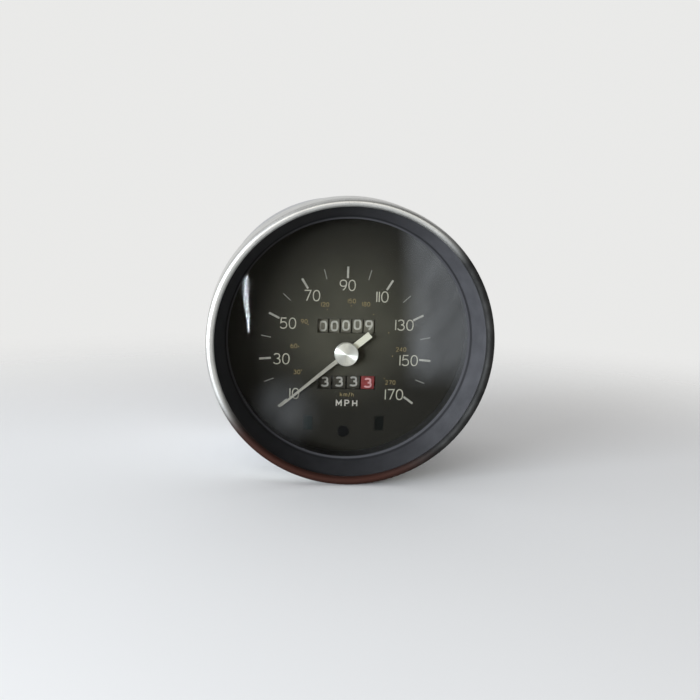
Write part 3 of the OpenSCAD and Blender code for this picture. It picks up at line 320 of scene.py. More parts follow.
def arc(x, y, across, up, start, end, power=2.0, steps=22):
    """Points on a rounded box |u|^power + |v|^power = 1 about (x, y), between two angles in degrees."""
    t = np.radians(np.linspace(start, end, steps))
    u = np.sign(np.cos(t)) * np.abs(np.cos(t)) ** (2.0 / power)
    v = np.sign(np.sin(t)) * np.abs(np.sin(t)) ** (2.0 / power)
    return np.stack([x + across * u, y + up * v], axis=1)


def run(*corners, steps=7):
    """Points along straight runs between corners, evenly spread on each."""
    corners = np.asarray(corners, float)
    share = np.linspace(0.0, 1.0, steps)[:-1, None]
    legs = [a + (b - a) * share for a, b in zip(corners[:-1], corners[1:])]
    return np.concatenate(legs + [corners[-1:]])


def open_path(*parts):
    """Parts of one stroke joined where they meet."""
    return np.concatenate(parts), False


def straight(*corners, steps=7):
    """One stroke of straight runs."""
    return run(*corners, steps=steps), False


def loop(path):
    """A closed stroke: its last point, which repeats the first, is left off."""
    return path[:-1], True


def figures(power):
    """Strokes of the digits and unit letters in a box of width and height 1. power squares round ones."""
    bowl = loop(arc(0.5, 0.30, 0.5, 0.30, 0, 360, power, 41))
    neck = open_path(arc(0.80, 0.30, 0.80, 0.70, 108, 178))
    stem = straight((0.0, 0.0), (0.0, 1.0))
    return {
        "0": [loop(arc(0.5, 0.5, 0.5, 0.5, 0, 360, power, 49))],
        "1": [straight((0.0, 0.0), (0.0, 1.0), steps=12)],
        "2": [open_path(arc(0.5, 0.715, 0.48, 0.285, 168, -28, power), run((0.04, 0.0), (1.0, 0.0)))],
        "3": [open_path(arc(0.45, 0.76, 0.43, 0.24, 158, -90, power)),
              open_path(arc(0.45, 0.265, 0.52, 0.265, 90, -158, power))],
        "4": [straight((0.76, 0.0), (0.76, 1.0), (0.0, 0.27), (1.0, 0.27), steps=10)],
        "5": [open_path(run((0.92, 1.0), (0.14, 1.0), (0.055, 0.50))[:-1],
                        arc(0.46, 0.315, 0.52, 0.315, 143, -150, power))],
        "6": [bowl, neck],
        "7": [straight((0.0, 1.0), (1.0, 1.0), (0.36, 0.0), steps=10)],
        "8": [loop(arc(0.5, 0.76, 0.43, 0.24, 0, 360, power, 41)),
              loop(arc(0.5, 0.26, 0.5, 0.26, 0, 360, power, 41))],
        "9": [(1.0 - bowl[0], True), (1.0 - neck[0], False)],
        "M": [straight((0.0, 0.0), (0.0, 1.0), (0.5, 0.32), (1.0, 1.0), (1.0, 0.0))],
        "P": [open_path(run((0.0, 0.0), (0.0, 1.0), (0.5, 1.0))[:-1],
                        arc(0.5, 0.74, 0.45, 0.26, 90, -90), run((0.45, 0.48), (0.08, 0.48)))],
        "H": [stem, straight((1.0, 0.0), (1.0, 1.0)), straight((0.0, 0.5), (1.0, 0.5))],
        "k": [stem, straight((0.95, 0.68), (0.06, 0.30)), straight((0.36, 0.43), (1.0, 0.0))],
        "m": [straight((0.0, 0.0), (0.0, 0.68)),
              open_path(arc(0.25, 0.42, 0.25, 0.26, 180, 0), run((0.5, 0.38), (0.5, 0.0))),
              open_path(arc(0.75, 0.42, 0.25, 0.26, 180, 0), run((1.0, 0.38), (1.0, 0.0)))],
        "/": [straight((0.0, -0.1), (1.0, 1.05))],
        "h": [stem, open_path(arc(0.5, 0.38, 0.5, 0.30, 180, 0), run((1.0, 0.34), (1.0, 0.0)))],
    }


DIAL_FIGURES = figures(2.25)
DRUM_FIGURES = figures(2.9)
FIGURE_WIDTHS = {"1": 0.0, "/": 0.5, "M": 1.2, "m": 1.35, "k": 0.8, "h": 0.8}


def line_of(text, book, width, height, stroke, gap):
    """The strokes of a line of figures, centred on nought, in metres."""
    wide = np.array([FIGURE_WIDTHS.get(sign, 1.0) for sign in text]) * (width - stroke) + stroke
    left = np.cumsum(wide + gap) - (wide + gap)
    middle = (wide.sum() + gap * (len(text) - 1)) / 2.0
    strokes = []
    for sign, start, across in zip(text, left, wide):
        scale = np.array([across - stroke, height - stroke])
        corner = np.array([start + stroke / 2.0 - middle, (stroke - height) / 2.0])
        strokes += [(path * scale + corner, closed) for path, closed in book[sign]]
    return strokes


def unit(steps):
    """Steps brought to the length 1."""
    return steps / np.linalg.norm(steps, axis=1, keepdims=True)


class Ink:
    """Bars of ink gathered into one mesh. Each bar is a box section carried along a stroke: at every point
    half the width times the mitred normal goes to both sides, at the ink's lower and upper level."""

    mitre_limit = 0.55
    levels = 4
    levels_per_thickness = 16.0

    def __init__(self, thickness):
        self.thickness = thickness
        self.points = []
        self.faces = []
        self.total = 0

    def normals(self, path, closed):
        """Mitred sideways steps of unit width: the mean of the two legs' normals, longer at a corner."""
        ahead = np.roll(path, -1, axis=0) - path
        if not closed:
            ahead[-1] = ahead[-2]
        behind = np.roll(ahead, 1, axis=0)
        if not closed:
            behind[0] = ahead[0]
        ahead = unit(ahead)
        mean = unit(ahead + unit(behind))
        reach = 1.0 / np.maximum(np.sum(mean * ahead, axis=1, keepdims=True), self.mitre_limit)
        return np.stack([-mean[:, 1], mean[:, 0]], axis=1) * reach

    def bar(self, path, width, closed, place):
        """One bar. place turns arrays of across, up and height above the surface into points. Bars that
        follow each other differ a little in height, so that their faces don't meet where they cross."""
        side = self.normals(path, closed) * width / 2.0
        left = path + side
        right = path - side
        across, up = np.stack([left, left, right, right], axis=1).transpose(2, 0, 1)
        lift = self.thickness + len(self.points) % self.levels * self.thickness / self.levels_per_thickness
        height = np.broadcast_to(np.array([0.0, lift, lift, 0.0]), across.shape)
        faces = grid_faces(len(path), 4, closed, True)
        if not closed:
            last = 4 * (len(path) - 1)
            faces = np.concatenate([faces, [[0, 1, 2, 3], [last + 3, last + 2, last + 1, last]]])
        self.points.append(place(across, up, height).reshape(-1, 3))
        self.faces.append(faces + self.total)
        self.total += 4 * len(path)

    def line(self, text, book, size, gap, place, weight=1.0):
        """A line of figures of one (width, height, stroke), centred on its place."""
        width, height, stroke = size
        for path, closed in line_of(text, book, width, height, stroke, gap):
            self.bar(path, weight * stroke, closed, place)

    def piece(self, name, body, material):
        """The gathered bars as one piece."""
        points = np.concatenate(self.points)
        add_piece(name, points, np.concatenate(self.faces), body, material)


# Finishes

class Web:
    """A node tree with helpers that chain its nodes over coordinates of one kind."""

    circles_per_unit = 20.0 / (2.0 * pi)    # of Blender's wave texture

    def __init__(self, tree, coordinates):
        self.nodes = tree.nodes
        self.links = tree.links
        self.start = self.node("TexCoord", {})[coordinates]

    def feed(self, socket, value):
        """Links an output to a socket, or sets the socket to a value."""
        if isinstance(value, NodeSocket):
            self.links.new(value, socket)
        else:
            socket.default_value = value

    def node(self, kind, sockets, **attributes):
        """The outputs of a new shader node with its attributes set and its sockets fed."""
        node = self.nodes.new("ShaderNode" + kind)
        for name, value in attributes.items():
            setattr(node, name, value)
        for socket, value in sockets.items():
            self.feed(node.inputs[socket], value)
        return node.outputs

    def place(self, size, centre=ORIGIN, turn=ORIGIN):
        """Coordinates from a centre, turned, with one unit to each size."""
        sizes = (size, size, size) if np.isscalar(size) else size
        sockets = {"Vector": self.start, "Location": centre, "Rotation": turn, "Scale": sizes}
        return self.node("Mapping", sockets, vector_type="TEXTURE")["Vector"]

    def noise(self, size, detail=2.0, turn=ORIGIN):
        """Cloudy noise from 0 to 1 whose lumps are of that size."""
        place = self.place(size, turn=turn)
        return self.node("TexNoise", {"Vector": place, "Scale": 1.0, "Detail": detail})[0]

    def rings(self, pitch, centre):
        """Circles of that pitch about a line along Y through centre, from 0 to 1."""
        place = self.place(pitch * self.circles_per_unit, centre)
        return self.node("TexWave", {"Vector": place, "Scale": 1.0, "Distortion": 0.6},
                         wave_type="RINGS", rings_direction="Y")[1]

    def levels(self, value, low, high, start=0.3, end=0.7, kind="LINEAR"):
        """A value from start to end spread over low to high."""
        sockets = {"Value": value, "From Min": start, "From Max": end, "To Min": low, "To Max": high}
        return self.node("MapRange", sockets, interpolation_type=kind)["Result"]

    def along(self, way, start, end, centre=ORIGIN, low=0.0, high=1.0):
        """A smooth change from low at start to high at end along a way from a centre."""
        sockets = {0: self.place(1.0, centre), 1: Vector(way).normalized()}
        share = self.node("VectorMath", sockets, operation="DOT_PRODUCT")["Value"]
        return self.levels(share, low, high, start, end, "SMOOTHSTEP")

    def around(self, inner, outer, centre=ORIGIN, flat=(1.0, 1.0e6, 1.0), low=0.0, high=1.0):
        """A smooth change from low at the inner to high at the outer radius about a line through a centre,
        along the axis that flat presses together."""
        radius = self.node("VectorMath", {0: self.place(flat, centre)}, operation="LENGTH")["Value"]
        return self.levels(radius, low, high, inner, outer, "SMOOTHSTEP")

    def combined(self, operation, result, *others):
        """Values put together one after the other by a Math operation."""
        for other in others:
            result = self.node("Math", {0: result, 1: other}, operation=operation)[0]
        return result

    def shades(self, value, *stops):
        """A colour ramp through stops of (position, colour)."""
        colour = self.node("ValToRGB", {"Fac": value})["Color"]
        ramp = colour.node.color_ramp
        while len(ramp.elements) < len(stops):
            ramp.elements.new(0.5)
        for element, (position, stop) in zip(ramp.elements, stops):
            element.position = position
            element.color = (*stop, 1.0)
        return colour

    def over(self, mask, below, colour):
        """A colour laid over another where the mask is 1."""
        return self.node("Mix", {0: mask, 6: below, 7: (*colour, 1.0)}, data_type="RGBA")[2]

    def mixed(self, share, below, above):
        """A shader laid over another by a share."""
        return self.node("MixShader", {0: share, 1: below, 2: above})[0]

    def seen(self):
        """1 to the eye, in mirrors and through glass, and 0 to the soft light between surfaces."""
        ray = self.node("LightPath", {})
        return self.combined(
            "MAXIMUM", ray["Is Camera Ray"], ray["Is Glossy Ray"], ray["Is Transmission Ray"])


class Finish(Web):
    """A Principled material that varies over the piece's Object coordinates."""

    def __init__(self, name, metallic=0.0, gloss=0.5):
        self.material = bpy.data.materials.new(name)
        self.material.use_nodes = True
        super().__init__(self.material.node_tree, "Object")
        self.shader = self.nodes["Principled BSDF"]
        self.paint("Metallic", metallic)
        self.paint("Specular IOR Level", gloss)

    def paint(self, socket, value):
        """Feeds one socket of the Principled shader."""
        self.feed(self.shader.inputs[socket], value)

    def skin(self, colour, roughness, height=None, depth=0.0):
        """The material with its colour, its roughness and relief of a depth from a height of 0 to 1."""
        self.paint("Base Color", colour)
        self.paint("Roughness", roughness)
        if height is not None:
            bump = self.node("Bump", {"Strength": 1.0, "Distance": depth, "Height": height})
            self.paint("Normal", bump["Normal"])
        return self.material

    def cover(self, shader):
        """The material with another shader in the place of the Principled one."""
        self.links.new(shader, self.nodes["Material Output"].inputs["Surface"])
        return self.material


def shade(colour, share):
    """A colour made darker or lighter by a share."""
    return tuple(min(1.0, part * share) for part in colour)


def worn(name, colour, roughness, metallic=0.0, lump=6.0, grain=0.4, spread=0.10, depth=0.012,
         stain=0.72, gloss=0.5, draw=(1.0, 1.0, 1.0)):
    """A handled surface: broad stains, fine grain in gloss and relief. lump, grain and depth are in
    millimetres, and draw stretches the grain along an axis."""
    finish = Finish(name, metallic, gloss)
    broad = finish.noise(lump * MM, 5.0)
    fine = finish.noise(tuple(grain * MM * share for share in draw), 3.0)
    stains = finish.shades(broad, (0.30, shade(colour, stain)), (0.55, colour), (0.80, shade(colour, 1.12)))
    rough = finish.levels(fine, max(0.04, roughness - spread), min(1.0, roughness + spread))
    return finish.skin(stains, rough, fine, depth * MM)


def bezel_plating(colour, patina, tarnish):
    """Bright plating gone dull with fine pits. On the bead in front, a painted dark reflection towards the
    lower right and a painted brown reflection along the lower edge."""
    finish = Finish("bezel_plating", 1.0)
    pits = finish.noise(0.45 * MM, 4.0)
    clean = finish.shades(finish.noise(9.0 * MM, 5.0), (0.30, shade(colour, 0.86)), (0.62, colour))
    specked = finish.over(finish.levels(pits, 0.0, 0.45, 0.57, 0.68), clean, shade(colour, 0.30))
    front = finish.along((0.0, -1.0, 0.0), -BEZEL_FRONT - 8.0 * MM, -BEZEL_FRONT - 3.0 * MM)
    blotch = finish.levels(finish.noise(5.0 * MM, 4.0), 0.97, 1.0, 0.32, 0.58)
    bead = finish.combined("MULTIPLY", front, blotch)
    # Painted dark reflection on the bead, growing towards the lower right.
    side = finish.along((0.62, 0.0, -0.78), -0.38 * BEZEL_RADIUS, 0.06 * BEZEL_RADIUS)
    dark_reflection_share = finish.combined("MULTIPLY", side, bead)
    # Painted brown reflection on the bead along its lower edge.
    low = finish.along((-0.20, 0.0, -0.98), 0.55 * BEZEL_RADIUS, 0.92 * BEZEL_RADIUS)
    brown_reflection_share = finish.combined("MULTIPLY", low, bead)
    painted_reflections = finish.over(brown_reflection_share, finish.over(dark_reflection_share, specked, patina), tarnish)
    return finish.skin(painted_reflections, finish.levels(dark_reflection_share, 0.38, 0.70, 0.0, 1.0), pits, 0.010 * MM)


def flare_black(colour):
    """Matt blue-black with a fine moulded grain, soiled in patches and with a painted sheen that grows
    towards the right, a painted highlight on the lip and a painted shade line just outside it."""
    finish = Finish("flare_grained_black", gloss=0.05)
    dust_and_painted_light = finish.noise(7.0 * MM, 5.0)
    # Painted sheen: lighter towards the right, mixed with real soiled patches.
    side = finish.along((1.0, 0.0, 0.12), 0.0, 0.9 * BEZEL_RADIUS, low=0.38)
    share = finish.combined("MULTIPLY", side, finish.levels(dust_and_painted_light, 0.76, 1.0, 0.35, 0.70))
    dusty_and_painted_sheen = finish.shades(share, (0.0, shade(colour, 0.05)), (1.0, shade(colour, 1.55)))
    # Painted shade line just outside the lip, then a painted highlight on the lip itself.
    line = finish.around(LIP_RADIUS + 1.3 * MM, LIP_RADIUS + 1.7 * MM, low=0.8, high=0.0)
    lip = finish.around(LIP_RADIUS + 0.5 * MM, LIP_RADIUS + 0.9 * MM, low=1.0, high=0.0)
    painted_lip_and_line = finish.over(lip, finish.over(line, dusty_and_painted_sheen, shade(colour, 0.35)), shade(colour, 1.4))
    return finish.skin(painted_lip_and_line, finish.levels(dust_and_painted_light, 0.50, 0.62), finish.noise(0.42 * MM, 3.0), 0.03 * MM)


def dust_film(finish, veil_share):
    """Share of a pale veil on the glass, a painted reflection: all of it at the right, half at the lower
    left, streaked, with real specks.
    """
    # Painted reflection: a pale veil over the right-hand part of the glass.
    side = finish.along((1.0, 0.0, 0.06), 21.0 * MM, 33.0 * MM, high=veil_share)
    above = finish.along((0.0, 0.0, 1.0), -24.0 * MM, -6.0 * MM)
    corner = (-27.0 * MM, 0.0, -32.0 * MM)
    # Painted reflection: a patch half as strong at the lower left.
    lower_left_reflection = finish.around(2.0 * MM, 19.0 * MM, corner, low=0.5 * veil_share, high=0.0)
    streaks = finish.noise((9.0 * MM, 9.0 * MM, 26.0 * MM), 4.0, (0.0, 0.5, 0.0))
    reflection_patches = finish.combined("MAXIMUM", finish.combined("MULTIPLY", side, above), lower_left_reflection)
    streaked_reflections = finish.combined("MULTIPLY", reflection_patches, finish.levels(streaks, 0.55, 1.0))
    specks = finish.levels(finish.noise(0.7 * MM, 0.0), 0.0, 0.10, 0.79, 0.84)
    return finish.combined("MAXIMUM", streaked_reflections, specks)


def pane(name, colour, gloss, veil_share=0.0):
    """Clear glass: what lies behind, and over it a share of mirror gloss that grows to the edge of sight.
    The veil share is the most that this pale, partly painted reflection adds in places."""
    finish = Finish(name)
    clear = finish.node("BsdfTransparent", {"Color": (*colour, 1.0)})[0]
    smear = finish.levels(finish.noise(11.0 * MM, 4.0), 0.0084, 0.0308)
    mirror = finish.node("BsdfGlossy", {"Roughness": smear})[0]
    edge = finish.node("Fresnel", {"IOR": 1.5})[0]
    glazed = finish.mixed(finish.levels(edge, gloss, 0.6, 0.04, 1.0), clear, mirror)
    # A pale diffuse veil: painted reflection at the right and lower left, and real specks.
    if veil_share:
        dust_and_painted_light = finish.node("BsdfDiffuse", {"Color": (0.80, 0.82, 0.84, 1.0)})[0]
        glazed = finish.mixed(dust_film(finish, veil_share), glazed, dust_and_painted_light)
    finish.nodes.remove(finish.shader)
    return finish.cover(glazed)


def dial_black(colour, warmer):
    """Matt dial paint, clouded with age, lighter and warmer in the middle and darker towards the edge."""
    finish = Finish("dial_matt_black", gloss=0.08)
    cloud = finish.noise(15.0 * MM, 3.0)
    # Darker towards the edge, lighter and warmer in the middle.
    edge = finish.around(10.0 * MM, 43.0 * MM, (1.0 * MM, 0.0, 6.0 * MM))
    warm = finish.shades(cloud, (0.30, shade(warmer, 0.82)), (0.72, shade(warmer, 1.16)))
    rough = finish.levels(cloud, 0.68, 0.80)
    return finish.skin(finish.over(edge, warm, colour), rough, finish.noise(0.30 * MM), 0.001 * MM)


def lens_dark(name, colour):
    """Unlit warning lens: deep, barely tinted, with a soft gloss."""
    return worn(name, colour, 0.40, lump=2.5, grain=0.6, spread=0.06, depth=0.002, stain=0.8, gloss=0.05)


def needle_paint(colour, tail):
    """Greyed needle with a cream tail: the two paints meet under the cap."""
    finish = Finish("needle_paint")
    low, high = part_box("pointer_needle")
    slope = (high.x - low.x, 0.0, high.z - low.z)
    side = finish.along(slope, -1.0 * MM, 1.0 * MM, (POINTER_X, 0.0, POINTER_Z))
    grey = finish.shades(finish.noise(2.5 * MM, 4.0), (0.30, shade(colour, 0.82)), (0.65, colour))
    return finish.skin(finish.over(side, grey, tail), finish.levels(finish.noise(0.8 * MM), 0.42, 0.60))


def spun_metal(name, colour, centre):
    """Bright metal turned on a lathe: fine circles about the axis spread its gloss into two fans."""
    finish = Finish(name, 1.0)
    circles = finish.rings(0.16 * MM, centre)
    finish.paint("Anisotropic", 0.94)
    finish.paint("Anisotropic Rotation", 0.25)
    finish.paint("Tangent", finish.node("Tangent", {}, direction_type="RADIAL", axis="Y")[0])
    bright = finish.shades(finish.noise(1.5 * MM, 4.0), (0.30, shade(colour, 0.9)), (0.65, colour))
    return finish.skin(bright, finish.levels(circles, 0.40, 0.50, 0.0, 1.0), circles, 0.002 * MM)


def drum_plastic(name, colour):
    """Moulded drum with a dull, dusty skin."""
    return worn(name, colour, 0.55, lump=3.0, grain=0.25, spread=0.12, depth=0.008, stain=0.7, gloss=0.15)


def holder_plastic(name, colour, metal, split):
    """Moulded lamp holder whose terminal, behind the depth of the split, is bare metal."""
    finish = Finish(name)
    terminal = finish.along((0.0, 1.0, 0.0), split - 0.1 * MM, split + 0.1 * MM)
    finish.paint("Metallic", terminal)
    stains = finish.noise(4.0 * MM, 5.0)
    moulded = finish.shades(stains, (0.30, shade(colour, 0.75)), (0.65, colour))
    rough = finish.levels(stains, 0.36, 0.54)
    grain = finish.noise(0.4 * MM, 3.0)
    return finish.skin(finish.over(terminal, moulded, metal), rough, grain, 0.012 * MM)


def ink(name, colour):
    """Screen-printed ink: thin places show where it has aged."""
    return worn(name, colour, 0.60, lump=1.6, grain=0.18, spread=0.10, depth=0.004, stain=0.78)


def dress(material, *names):
    """Gives CAD nodes their finish."""
    for name in names:
        mesh = NODES[name].data
        mesh.materials.clear()
        mesh.materials.append(material)


# Operators

class SPEEDOMETER_OT_front_rings(Operator):
    """Finish the bezel, the flare, the glass and its seal"""
    bl_idname = "speedometer.front_rings"
    bl_label = "Front rings and glass"

    def execute(self, context):
        finish = settings(context, "finish")
        dress(bezel_plating(finish.bezel, finish.patina, finish.tarnish), "bezel")
        dress(flare_black(finish.flare), "flare_ring")
        # The front glass gets a pale veil of painted reflection.
        dress(pane("front_glass", (0.985, 0.99, 0.985), 0.0015, veil_share=0.080), "glass")
        dress(worn("seal_rubber", (0.018, 0.018, 0.018), 0.78, lump=3.0, depth=0.03), "glass_gasket")
        dress(worn("surround_matt_black", (0.024, 0.023, 0.021), 0.70, depth=0.015), "dial_surround")
        return {"FINISHED"}


class SPEEDOMETER_OT_dial(Operator):
    """Finish the dial and its warning lenses and print the ticks, numbers and units"""
    bl_idname = "speedometer.dial"
    bl_label = "Dial and print"

    kilometres_per_mile = 1.609344
    number_gap = 1.3
    metric_gap = 1.2
    dot_weight = 0.9
    unit_weight = 1.1
    unit_shape = (0.74, 0.40)
    metric_unit_shape = (0.68, 0.25)

    def execute(self, context):
        dial = settings(context, "dial")
        finish = settings(context, "finish")
        dress(dial_black(finish.dial, finish.dial_faded), "dial_plate")
        for side in ("left", "middle", "right"):
            dress(lens_dark("lens_dark_" + side, getattr(finish, "lens_" + side)), "telltale_lens_" + side)
        dress(worn("housing_black", (0.020, 0.020, 0.020), 0.60), "telltale_housing")
        self.print_ticks(dial)
        self.print_numbers(dial)
        self.print_metric(dial)
        self.print_unit(dial)
        return {"FINISHED"}

    def numbered(self, dial):
        """The speeds that have a number."""
        return range(dial.first_speed, dial.last_speed + 1, dial.speed_step)

    def turn_of(self, dial, speed):
        """Angle of a speed from the top, clockwise."""
        middle = (dial.first_speed + dial.last_speed) / 2.0
        return (speed - middle) / (dial.last_speed - dial.first_speed) * dial.sweep

    def label_turn(self, dial, speed):
        """Angle of a speed's number: its tick's angle plus the droop times the cube of its share of the
        sweep."""
        turn = self.turn_of(dial, speed)
        return turn + dial.label_droop * (2.0 * turn / dial.sweep) ** 3

    def at(self, x, z):
        """A place on the dial's face, from the pointer's axis."""
        def place(across, up, height):
            return np.stack([POINTER_X + x + across, DIAL_FACE - height, POINTER_Z + z + up], axis=-1)
        return place

    def at_turn(self, radius, turn):
        """A place on the dial's face at a radius and an angle from the top."""
        return self.at(radius * sin(turn), radius * cos(turn))

    def radial(self, pen, turn, outer, reach, width):
        """A straight bar from the outer radius inwards."""
        way = np.array([sin(turn), cos(turn)])
        pen.bar(run(way * outer, way * (outer - reach)), width, False, self.at(0.0, 0.0))

    def print_ticks(self, dial):
        """Wide ticks at the numbers, the first one under the resting needle, and thin ones between."""
        major = Ink(dial.ink)
        minor = Ink(dial.ink)
        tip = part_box("pointer_needle")[0]
        rest = atan2(tip.x - POINTER_X, tip.z - POINTER_Z)
        for speed in self.numbered(dial):
            turn = rest if speed == dial.first_speed else self.turn_of(dial, speed)
            self.radial(major, turn, dial.tick_radius, dial.tick_length, dial.tick_width)
        for speed in self.numbered(dial)[:-1]:
            turn = self.turn_of(dial, speed + dial.speed_step // 2)
            self.radial(minor, turn, dial.tick_radius, dial.minor_length, dial.minor_width)
        major.piece("dial_ticks", HOUSING, ink("ink_tick_white", dial.tick_colour))
        minor.piece("dial_minor_ticks", HOUSING, ink("ink_thin_grey", dial.minor_colour))

    def print_numbers(self, dial):
        """Upright speed numbers inside the ticks, drawn nearer to the axis at the sides."""
        pen = Ink(dial.ink)
        gap = self.number_gap * dial.label_size[2]
        for speed in self.numbered(dial):
            turn = self.label_turn(dial, speed)
            place = self.at_turn(dial.label_radius - dial.label_draw * sin(turn) ** 2, turn)
            pen.line(str(speed), DIAL_FIGURES, dial.label_size, gap, place)
        pen.piece("dial_numbers", HOUSING, ink("ink_number_cream", dial.number_colour))

    def print_metric(self, dial):
        """Small ochre kilometre numbers with a dot under each, turned back where a speed number is close,
        and their unit."""
        pen = Ink(dial.ink)
        stroke = dial.metric_size[2]
        dot, closed = loop(arc(0.0, 0.0, stroke / 2.0, stroke / 2.0, 0, 360, steps=13))
        labels = [self.label_turn(dial, speed) for speed in self.numbered(dial)]
        for speed in range(dial.metric_step, dial.metric_last + 1, dial.metric_step):
            turn = self.turn_of(dial, speed / self.kilometres_per_mile)
            pen.bar(dot, self.dot_weight * stroke, closed, self.at_turn(dial.metric_dot_radius, turn))
            if speed == dial.metric_left_out:
                continue
            nearest = min(labels, key=lambda label: abs(label - turn))
            if abs(nearest - turn) < dial.metric_clearance / 3.0:
                turn = nearest - dial.metric_clearance
            radius = dial.metric_radius + dial.metric_spread * (len(str(speed)) - 2) * sin(turn) ** 2
            place = self.at_turn(radius, turn)
            pen.line(str(speed), DIAL_FIGURES, dial.metric_size, self.metric_gap * stroke, place)
        high = dial.metric_unit_height
        width, gap = self.metric_unit_shape
        place = self.at(dial.unit_shift, -dial.metric_unit_drop)
        pen.line("km/h", DIAL_FIGURES, (width * high, high, stroke), gap * high, place)
        pen.piece("dial_metric_numbers", HOUSING, ink("ink_ochre", dial.metric_colour))

    def print_unit(self, dial):
        """The main unit in capitals."""
        pen = Ink(dial.ink)
        high = dial.unit_height
        width, gap = self.unit_shape
        size = (width * high, high, dial.label_size[2])
        place = self.at(dial.unit_shift, -dial.unit_drop)
        pen.line("MPH", DIAL_FIGURES, size, gap * high, place, self.unit_weight)
        pen.piece("dial_unit", HOUSING, ink("ink_unit_white", dial.unit_colour))


class SPEEDOMETER_OT_pointer(Operator):
    """Finish the needle, its spun cap, the spindle and the drag cup"""
    bl_idname = "speedometer.pointer"
    bl_label = "Pointer"

    def execute(self, context):
        finish = settings(context, "finish")
        axis = (POINTER_X, 0.0, POINTER_Z)
        dress(needle_paint(finish.needle, finish.needle_tail), "pointer_needle")
        dress(spun_metal("cap_spun_metal", finish.cap, axis), "pointer_cap")
        dress(worn("spindle_steel", finish.steel, 0.25, 1.0, draw=(1.0, 8.0, 1.0)), "pointer_spindle")
        dress(spun_metal("cup_thin_aluminium", (0.74, 0.74, 0.74), axis), "drag_cup")
        dress(worn("spring_bronze", (0.62, 0.40, 0.19), 0.28, 1.0, lump=2.0), "hairspring", "spring_stud")
        return {"FINISHED"}


class SPEEDOMETER_OT_counters(Operator):
    """Finish the drums and their train and roll the digits onto them"""
    bl_idname = "speedometer.counters"
    bl_label = "Distance and trip counters"

    def execute(self, context):
        counters = settings(context, "counters")
        finish = settings(context, "finish")
        *plain_drums, tenths_drum = TRIP_DRUMS
        dress(drum_plastic("drum_faded_black", counters.odometer_drum), *ODOMETER_DRUMS)
        dress(drum_plastic("drum_black", counters.trip_drum), *plain_drums)
        dress(drum_plastic("drum_red", counters.tenths_drum), tenths_drum)
        dress(drum_plastic("carrier_faded_black", counters.odometer_drum), "odometer_carriers")
        dress(drum_plastic("carrier_black", counters.trip_drum), "trip_carriers")
        odometer_ink = ink("ink_drum_grey", counters.odometer_colour)
        trip_ink = ink("ink_drum_white", counters.trip_colour)
        tenths_ink = ink("ink_drum_pink", counters.tenths_colour)
        for drum, shown, slip in zip(ODOMETER_DRUMS, counters.odometer_reading, counters.odometer_slip):
            pen = Ink(counters.ink)
            self.number_drum(pen, drum, int(shown), slip, counters.odometer_size, -1.0)
            pen.piece(drum + "_digits", drum, odometer_ink)
        for drum, shown, slip in zip(TRIP_DRUMS, counters.trip_reading, counters.trip_slip):
            pen = Ink(counters.ink)
            self.number_drum(pen, drum, int(shown), slip, counters.trip_size, 1.0)
            pen.piece(drum + "_digits", drum, tenths_ink if drum == tenths_drum else trip_ink)
        brass = worn("train_brass", finish.brass, 0.30, 1.0, lump=4.0, stain=0.66)
        steel = worn("arbor_steel", finish.steel, 0.26, 1.0, draw=(8.0, 1.0, 1.0))
        pale = worn("pinion_pale_plastic", (0.62, 0.58, 0.47), 0.48, lump=2.0, stain=0.85)
        dress(brass, "cross_shaft", "counter_shaft")
        dress(steel, "odometer_arbor", "trip_arbor", "odometer_carrier_bar", "trip_carrier_bar")
        dress(pale, "odometer_drive_wheel", *(name for name in NODES if "_pinion_" in name))
        return {"FINISHED"}

    def number_drum(self, pen, drum, shown, slip, size, way):
        """Ten digits round a drum: a point at (across, up, height) goes to radius + height at the turn
        (slip + up) / radius plus a tenth of a turn for each digit after the one that shows."""
        axis_x, axis_y, axis_z = JOINTS[drum + "_spin"]["pos_m"]
        radius = axis_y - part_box(drum)[0].y
        for digit in range(10):
            start = slip / radius + way * (digit - shown) * 2.0 * pi / 10.0

            def place(across, up, lift, start=start):
                turn = start + up / radius
                reach = radius + lift
                y = axis_y - reach * np.cos(turn)
                z = axis_z + reach * np.sin(turn)
                return np.stack([axis_x + across, y, z], axis=-1)

            pen.line(str(digit), DRUM_FIGURES, size, 0.0, place)


class SPEEDOMETER_OT_movement(Operator):
    """Finish the frame, the bridge, the drive and the pieces that hold them"""
    bl_idname = "speedometer.movement"
    bl_label = "Movement"

    def execute(self, context):
        finish = settings(context, "finish")
        zinc = worn("cast_zinc", (0.47, 0.47, 0.46), 0.48, 1.0, lump=5.0, grain=0.5, depth=0.03)
        steel = worn("movement_steel", finish.steel, 0.28, 1.0, draw=(1.0, 8.0, 1.0))
        brass = worn("movement_brass", finish.brass, 0.28, 1.0, lump=4.0, stain=0.66)
        iron = worn("soft_iron", (0.30, 0.29, 0.28), 0.42, 1.0, lump=3.0)
        dress(zinc, "movement_frame")
        dress(brass, "pointer_bridge", "rear_bush", "front_bush")
        dress(steel, "bridge_screws", "input_spindle", "reset_spindle")
        dress(iron, "field_cup", "magnet")
        dress(pane("bulb_glass", (0.96, 0.96, 0.94), 0.036), "lamp_bulbs")
        return {"FINISHED"}


